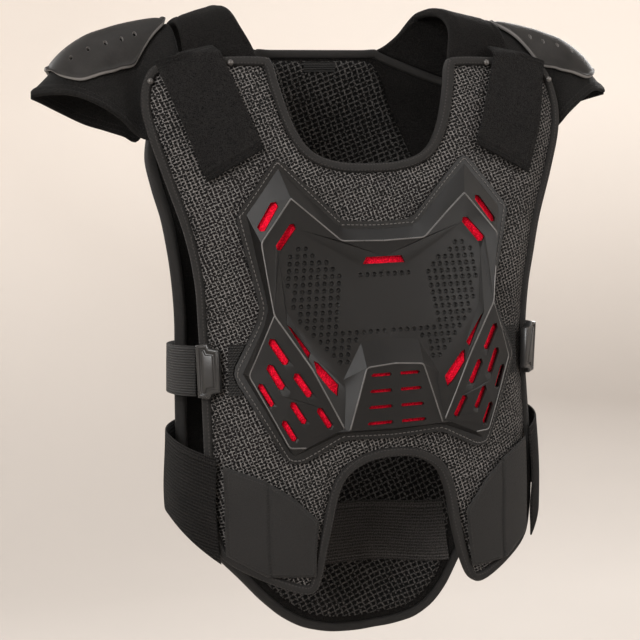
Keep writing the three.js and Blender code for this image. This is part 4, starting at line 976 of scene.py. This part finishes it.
def wing_face(u, v):
    x = WING_ROOT + (WING_REACH - WING_ROOT) * u
    ridge = wing_read(x, 1) + WING_DEEP
    start = np.arcsin(np.clip((wing_read(x, 2) + WING_DEEP) / ridge, 0, 1))
    end = math.pi - np.arcsin(np.clip((wing_read(x, 3) + WING_DEEP) / ridge, 0, 1))
    turn = start + (end - start) * v
    return np.stack([x, SHOULDER_Y - wing_read(x, 4) * np.cos(turn),
                     ridge * np.sin(turn) - WING_DEEP], -1)


def wing_soft(rim, u, v, runs):
    hem = 1.1 * eased((11 - rim) / 3)
    fold = 0.9 * np.sin(runs[0] / 17 + v * 5) * eased((rim - 12) / 30) * (1 - u)
    return hem + fold * 0.5 + 0.35 * ripple(runs[0], runs[1], 15, 3) * eased(rim / 20)


for side, sign in SIDES:
    wing = sheet_piece(f"{side}_wing_pad", wing_face, WING_THICK, (56, 84), sign, 2.5, wing_soft, "v")
    settle(wing, quilted, "padded_cloth", f"{side}_wing")


# Shoulder caps: hard satin domes, almond shaped, with a thin raised rim and small oval holes.
# Each is a shell lifted off its wing, and the holes are cut right through it.
CAP = np.array([
    # share of the length, half width, lift of the top line
    (0, 0.16, 0.3), (0.03, 0.36, 0.5), (0.1, 0.52, 0.8), (0.22, 0.66, 1), (0.38, 0.8, 1.1),
    (0.54, 0.92, 1), (0.68, 0.93, 1), (0.81, 0.82, 0.9), (0.93, 0.5, 0.6), (1, 0.08, 0.3),
])
CAP_FROM, CAP_LONG, CAP_HALF, CAP_LIFT, CAP_THICK, CAP_GAP = 168, 111, 38, 4, 3, 1.4


def shoulder_z(x, offset):
    ridge = wing_read(x, 1) + WING_DEEP
    return ridge * np.sqrt(np.clip(1 - (offset / wing_read(x, 4)) ** 2, 0, 1)) - WING_DEEP


def cap_face(u, v):
    x = CAP_FROM + CAP_LONG * u
    across = 2 * v - 1
    offset = smooth_read(CAP[:, 0], CAP[:, 1], u) * CAP_HALF * across
    lift = smooth_read(CAP[:, 0], CAP[:, 2], u) * CAP_LIFT * (1 - across**2)
    step = 0.5
    fall = shoulder_z(x, np.abs(offset - step)) - shoulder_z(x, np.abs(offset + step))
    slope = np.maximum(0, shoulder_z(x - step, np.abs(offset)) - shoulder_z(x + step, np.abs(offset)))
    normal = unit(np.stack([slope, fall, np.full_like(x, 2 * step)], -1))
    base = np.stack([x, SHOULDER_Y + offset, shoulder_z(x, np.abs(offset))], -1)
    return base + normal * (CAP_THICK + CAP_GAP + lift)[..., None]


def cap_bead(rim, u, v, runs):
    return 1.3 * np.exp(-((rim - 2.6) / 1.3) ** 2) - 0.4 * np.exp(-((rim - 6.2) / 1.3) ** 2)


# Holes as shares of the length and of the width, and their half width, half height and depth.
CAP_HOLES = [(0.3, 0.2), (0.43, 0.2), (0.56, 0.2), (0.69, 0.2), (0.82, 0.2),
             (0.6, 0.44), (0.72, 0.44), (0.84, 0.42)]
CAP_HOLE_SIZE, CAP_HOLE_TAPER = (1.7, 3.0, 6.0), 0.95
shell = Finish("cap_plastic_grey", Specular_IOR_Level=0.05)
place = shell.place()
grit = shell.noise(place, 1300, 2)
smear = shell.noise(place, 30, 4)
# Painted highlight: the cap is coloured lighter in a thin band along its rim.
painted_sheen = shell.read("rim").between(0.0024, 0.0008)
shell.coat(0.16 * smear + 0.1 * grit + 0.9 * painted_sheen, (0.0015, 0.0014, 0.0013), (0.16, 0.152, 0.146), grit,
           0.00012, Roughness=0.36 + 0.14 * smear + 0.08 * grit)
for side, sign in SIDES:
    cap = sheet_piece(f"{side}_cap_shell", cap_face, CAP_THICK, (64, 40), sign, 1.2, cap_bead)
    pins = []
    for along, turn in CAP_HOLES:
        at = lambda a, t: askew(cap_face(np.array([a]), np.array([t]))[0] * (sign, 1, 1))
        centre = at(along, turn)
        run, up = at(along + 0.01, turn) - centre, at(along, turn + 0.01) - centre
        out = unit(np.cross(run, up))
        pins.append((centre, out * np.sign(out[2]), unit(up), *CAP_HOLE_SIZE, CAP_HOLE_TAPER))
    cut_out(cap, cutter("pins", pins))
    smooth_below(cap, 40)
    settle(cap, shell, "shoulder_cap", f"{side}_cap")


# Shoulder straps: wide bands of hook-and-loop pile from the yoke over the front panel's tab,
# with a stitched hem at the slanted lower end.
STRAP_TOP, STRAP_LOW = ((0.672, -0.024), (0.945, 0.004)), ((0.505, 0.17), (0.755, 0.227))
STRAP_THICK = 2.6


def yoke_y(x, z):
    share = np.clip((z + YOKE_FOOT) / (yoke_top(x) + YOKE_FOOT), 0, 1)
    return crest_y(x) + (yoke_front(x) - crest_y(x)) * (1 - share**POWER) ** (1 / POWER)


def strap_face(u, v):
    top, low = (inner + (outer - inner) * u[..., None]
                for inner, outer in (front_place(STRAP_TOP), front_place(STRAP_LOW)))
    at = top + (low - top) * v[..., None]
    x, z = at[..., 0], at[..., 1]
    rest = torso_depth(x, z, -1, 1.6)
    tuck = np.clip((z + FRONT_TOP - 3) / 8, 0, 1)
    y = rest + (yoke_y(x, z) - 0.4 - rest) * tuck
    return np.stack([x, y - STRAP_THICK, z], -1)


loop = Finish("hook_loop_charcoal", Roughness=0.95, Specular_IOR_Level=0.05, Sheen_Weight=0.02,
              Sheen_Roughness=0.6)
place = loop.place()
fuzz = loop.noise(place, 900, 3, 0.7).between(0.3, 0.7)
tufts = loop.noise(place, 260, 3)
along_u = loop.weave()[1]
rim = loop.read("rim")
border = rim.between(0.0085, 0.0065)
sewn = stitches(rim, along_u, 0.0042) * border
loop.coat((fuzz * 0.9 + tufts * 0.7 - 0.35) * (1 - 0.5 * border) + 0.12 * sewn, (0.0025, 0.0024, 0.0023),
          (0.024, 0.0226, 0.022), (fuzz + 0.6 * tufts) * (1 - 0.7 * border) + 0.8 * sewn, 0.0011)


def strap_hem(rim, u, v, runs):
    return -0.45 * np.exp(-((rim - 8) / 0.9) ** 2) + 0.15 * ripple(runs[0], runs[1], 12, 4)


for side, sign in SIDES:
    strap = sheet_piece(f"{side}_strap_loop", strap_face, STRAP_THICK, (36, 90), sign, 1.1, strap_hem, "v")
    settle(strap, loop, "hook_loop", f"{side}_shoulder_strap")
    cloth(strap, "front_panel", f"{side}_yoke")


# Rivets: small domed steel studs with a flange, beside the straps. Each is a flattened sphere
# joined with a thin ring.
steel = Finish("rivet_steel", Metallic=1.0)
place = steel.place()
scratch = steel.noise(place, 900, 3)
steel.coat(scratch, (0.06, 0.057, 0.055), (0.16, 0.152, 0.146), scratch, 0.00005,
           Roughness=0.24 + 0.3 * scratch)
STUD_RADIUS, STUD_FLAT, FLANGE_RADIUS, FLANGE_ROUND, FLANGE_BACK = 0.0021, 0.5, 0.0022, 0.0006, 0.0004
for side, _ in SIDES:
    for kind in ("inner", "outer"):
        low, high = (Vector(p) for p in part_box(f"{side}_{kind}_rivet"))
        middle = (low + high) / 2
        bpy.ops.mesh.primitive_uv_sphere_add(segments=20, ring_count=10, radius=STUD_RADIUS, location=middle)
        stud = bpy.context.object
        stud.name = f"{side}_{kind}_rivet_stud"
        stud.scale = (1, STUD_FLAT, 1)
        bpy.ops.mesh.primitive_torus_add(
            major_radius=FLANGE_RADIUS, minor_radius=FLANGE_ROUND, major_segments=20, minor_segments=8,
            location=middle + Vector((0, FLANGE_BACK, 0)), rotation=(math.pi / 2, 0, 0))
        pick(stud, bpy.context.object)
        bpy.ops.object.transform_apply(location=True, rotation=True, scale=True)
        bpy.ops.object.join()
        bpy.ops.object.shade_smooth()
        settle(stud, steel, "rivet", f"{side}_{kind}_rivet")


# Side straps: ribbed webbing from the back to the buckle, and a tab of the same webbing on the
# front. The webbing is a band on the torso form, the tab is the solid itself.
SIDE_DROP, WEB_WIDE, WEB_THICK, RING_SEAT = 323, 46, 2, 2.12
WEB_TURN, TAB_RIM = (66, 118), 0.01


def on_ring(turns, top, low, grow):
    """A band round the body between two angles and two lines."""
    def face(u, v):
        angle = np.radians(turns[0] + (turns[1] - turns[0]) * u)
        return round_torso(angle, top(u) + (low(u) - top(u)) * v, grow)
    return face


web = Finish("webbing_black", Specular_IOR_Level=0.2)
place, along_u, along_v = web.weave()
cords = along_v.wave(0.0024)
picks = (along_u + along_v * 0.5).wave(0.0016)
rim = web.read("rim")
edge_cord = rim.between(0.003, 0.002)
fuzz = web.noise(place, 800, 2)
web.coat(0.3 * cords + 0.25 * picks + 0.5 * fuzz, (0.007, 0.0068, 0.0066), (0.032, 0.031, 0.03),
         0.8 * cords + 0.5 * picks + 0.4 * fuzz - edge_cord, 0.0006, Roughness=0.6 + 0.2 * fuzz)


def level(z):
    return lambda u: np.full_like(u, z)


web_top, web_low = level(-SIDE_DROP + WEB_WIDE / 2), level(-SIDE_DROP - WEB_WIDE / 2)
for side, sign in SIDES:
    strip = sheet_piece(f"{side}_side_webbing", on_ring(WEB_TURN, web_top, web_low, RING_SEAT + WEB_THICK),
                        WEB_THICK, (60, 24), sign, 0.9, None, "v")
    settle(strip, web, "webbing", f"{side}_side_web")
    cloth(strip, "back_panel")
    tab = solid_copy(f"{side}_side_tab", f"{side}_tab_webbing")
    layer = tab.data.uv_layers.new(name="weave")
    for corner in tab.data.loops:
        x, y, z = tab.data.vertices[corner.vertex_index].co
        layer.data[corner.index].uv = (math.hypot(x, y), z)
    values = tab.data.attributes.new("rim", "FLOAT", "POINT").data
    values.foreach_set("value", np.full(len(values), TAB_RIM))
    settle(tab, web, "webbing", f"{side}_side_tab")


# Buckles: glossy black side-release buckles, closed, their outer face sunk in a ring round a
# raised middle.
BUCKLE_STEPS = ((0.0028, 0.0), (0.0008, -0.0012), (0.0022, 0.0), (0.0008, 0.0014))
gloss = Finish("buckle_plastic_black", Specular_IOR_Level=0.5)
place = gloss.place()
smear = gloss.noise(place, 60, 4)
gloss.coat(smear, (0.008, 0.0078, 0.0076), (0.02, 0.0195, 0.019), smear, 0.0001,
           Roughness=0.2 + 0.2 * smear)
for side, sign in SIDES:
    buckle = solid_copy(f"{side}_buckle", f"{side}_buckle_body")
    made = bmesh.new()
    made.from_mesh(buckle.data)
    bmesh.ops.dissolve_limit(made, angle_limit=math.radians(3), verts=made.verts, edges=made.edges)
    outer = max(made.faces, key=lambda f: f.calc_area() * (1 if f.normal.x * sign > 0.2 else 0.1))
    for width, lift in BUCKLE_STEPS:
        bmesh.ops.inset_region(made, faces=[outer], thickness=width, depth=lift)
    made.to_mesh(buckle.data)
    made.free()
    finish_with(buckle, "BEVEL", "edge", width=0.0005, segments=2, limit_method="ANGLE",
                angle_limit=math.radians(30))
    smooth_below(buckle, 30)
    settle(buckle, gloss, "buckle", f"{side}_buckle")


# Waist belts: wide ribbed elastic from the back round the sides, under the flaps. Bands on the
# torso form, with shallow wrinkles.
BELT_TURN, BELT_THICK = (54.5, 150), 2.2


def elastic(name, low, high):
    finish = Finish(name, Roughness=0.85, Specular_IOR_Level=0.06)
    place, along_u, along_v = finish.weave()
    ribs = along_v.wave(0.0031)
    cross = along_u.wave(0.0019)
    fuzz = finish.noise(place, 700, 3, 0.7).between(0.3, 0.7)
    cloudy = finish.noise(place, 28, 3)
    rim = finish.read("rim")
    sewn = stitches(rim, along_u, 0.0050)
    hem_line = (rim - 0.0085).size().between(0.0012, 0.0004)
    tone = 0.15 * ribs + 0.1 * cross + 0.55 * fuzz + 0.3 * cloudy - 0.15 + 0.4 * sewn
    finish.coat(tone, low, high, 0.5 * ribs + 0.25 * cross + 0.5 * fuzz + 0.8 * sewn - hem_line, 0.0007)
    return finish


stretch = elastic("elastic_black", (0.004, 0.0038, 0.0037), (0.027, 0.0256, 0.0247))


def belt_top(u):
    return -FRONT_TOP - 0.674 * FRONT_LONG - 28 * (1 - u) ** 2


def belt_low(u):
    return -FRONT_TOP - 0.93 * FRONT_LONG + 44 * np.sin(np.minimum(2 * u, 1) * math.pi / 2)


def belt_soft(rim, u, v, runs):
    wave = np.sin(runs[1] / 9.5 + 1.2 * np.sin(runs[0] / 31))
    return 0.8 * wave * eased(rim / 18) * (0.4 + 0.6 * eased(1 - u * 3))


for side, sign in SIDES:
    belt = sheet_piece(f"{side}_waist_elastic", on_ring(BELT_TURN, belt_top, belt_low, RING_SEAT + BELT_THICK),
                       BELT_THICK, (120, 44), sign, 1.0, belt_soft, "v")
    settle(belt, stretch, "elastic", f"{side}_belt")
    cloth(belt, "front_panel", "back_panel")


# Belt flaps: smooth imitation leather ends on the front legs, with a sewn border and a fold
# line down the middle.
FLAP = [(0.757, 0.745), (0.59, 0.775), (0.47, 0.81), (0.36, 0.858), (0.385, 0.965), (0.6, 0.958),
        (0.757, 0.915)]
FLAP_THICK, FLAP_FOLD, FLAP_ROUND = 3, 119, 1.2
hide = Finish("flap_leather_grey", Specular_IOR_Level=0.22)
place, along_u, along_v = hide.weave()
grain = make(hide.tree, "ShaderNodeTexVoronoi", {"feature": "DISTANCE_TO_EDGE"},
             {"Vector": place, "Scale": 900.0})
cloudy = hide.noise(place, 22, 4)
fine = hide.noise(place, 900, 3, 0.65).between(0.3, 0.7)
rim = hide.read("rim")
sewn = ((rim - 0.0034).size().between(0.0007, 0.0003)
        * (((along_u + along_v) / 0.0034).fraction() - 0.5).size().between(0.4, 0.28))
edge_wear = rim.between(0.0012, 0.0002)
creases = grain.between(0.09, 0.0)
hide.coat(0.4 * cloudy + 0.4 * fine + 0.4 * sewn + 0.4 * edge_wear - 0.25 * creases,
          (0.007, 0.0067, 0.0065), (0.028, 0.0268, 0.026),
          0.8 * sewn - 0.6 * creases + 0.4 * cloudy + 0.5 * fine, 0.0004, Roughness=0.42 + 0.2 * cloudy)


def flap_round(depth):
    return np.sqrt(np.clip(1 - (1 - np.clip(depth / FLAP_ROUND, 0, 1)) ** 2, 0, 1))


def flap_outer(x, z, depth):
    fold = np.exp(-((np.abs(x) - FLAP_FOLD) / 1.0) ** 2)
    border = np.exp(-((depth - 3.4) / 0.9) ** 2)
    return on_torso(x, z, -1, RING_SEAT + FLAP_THICK - 1.5 * (1 - flap_round(depth))
                    - 2.2 * fold - 0.35 * border)


def flap_inner(x, z, depth):
    return on_torso(x, z, -1, RING_SEAT + 1.4 * (1 - flap_round(depth)))


flap_edge = even_steps(front_place(FLAP), 2.0)
for side, sign in SIDES:
    flap = cut_panel(f"{side}_flap_hide", flap_edge, 2.2, flap_outer, flap_inner, -1, sign)
    settle(flap, hide, "leather", f"{side}_flap")


# Inner band: wide ribbed elastic across the inside of the back, in a lighter copy of the belts'
# elastic as painted light, since it lies in shade. A band on the torso form, just inside the pad.
BAND_DROP, BAND_WIDE, BAND_THICK, BAND_TURN, PAD_INNER = 508, 60, 2.4, 36, -13.4
band_face = on_ring((180 - BAND_TURN, 180 + BAND_TURN), level(-BAND_DROP + BAND_WIDE / 2),
                    level(-BAND_DROP - BAND_WIDE / 2), PAD_INNER - 1.2)
band = sheet_piece("inner_band_elastic", band_face, BAND_THICK, (70, 30), 1, 1.0, None, "v")
# Painted light: this elastic is coloured about three times lighter than the belts' to stand in for light on a
# band that lies in shade.
painted_light_elastic = elastic("inner_elastic_black", (0.012, 0.0113, 0.011), (0.085, 0.08, 0.077))
settle(band, painted_light_elastic, "elastic", "inner_band")
cloth(band, "back_pad")


# Neck label: a bare woven patch at the top of the pad's inner face. A thin sheet with rounded
# edges.
LABEL_TOP, LABEL_WIDE, LABEL_HIGH = BACK_TOP + 0.021 * BACK_LONG, 34, 10


def label_face(u, v):
    x, z = (u - 0.5) * LABEL_WIDE, -LABEL_TOP - LABEL_HIGH * v
    return on_torso(x, z, 1, PAD_INNER - 0.4)


label = sheet_piece("neck_label_patch", label_face, 0.8, (24, 10), 1, 0.35, None, "v")
settle(label, web, "label", "neck_label")
cloth(label, "back_pad")
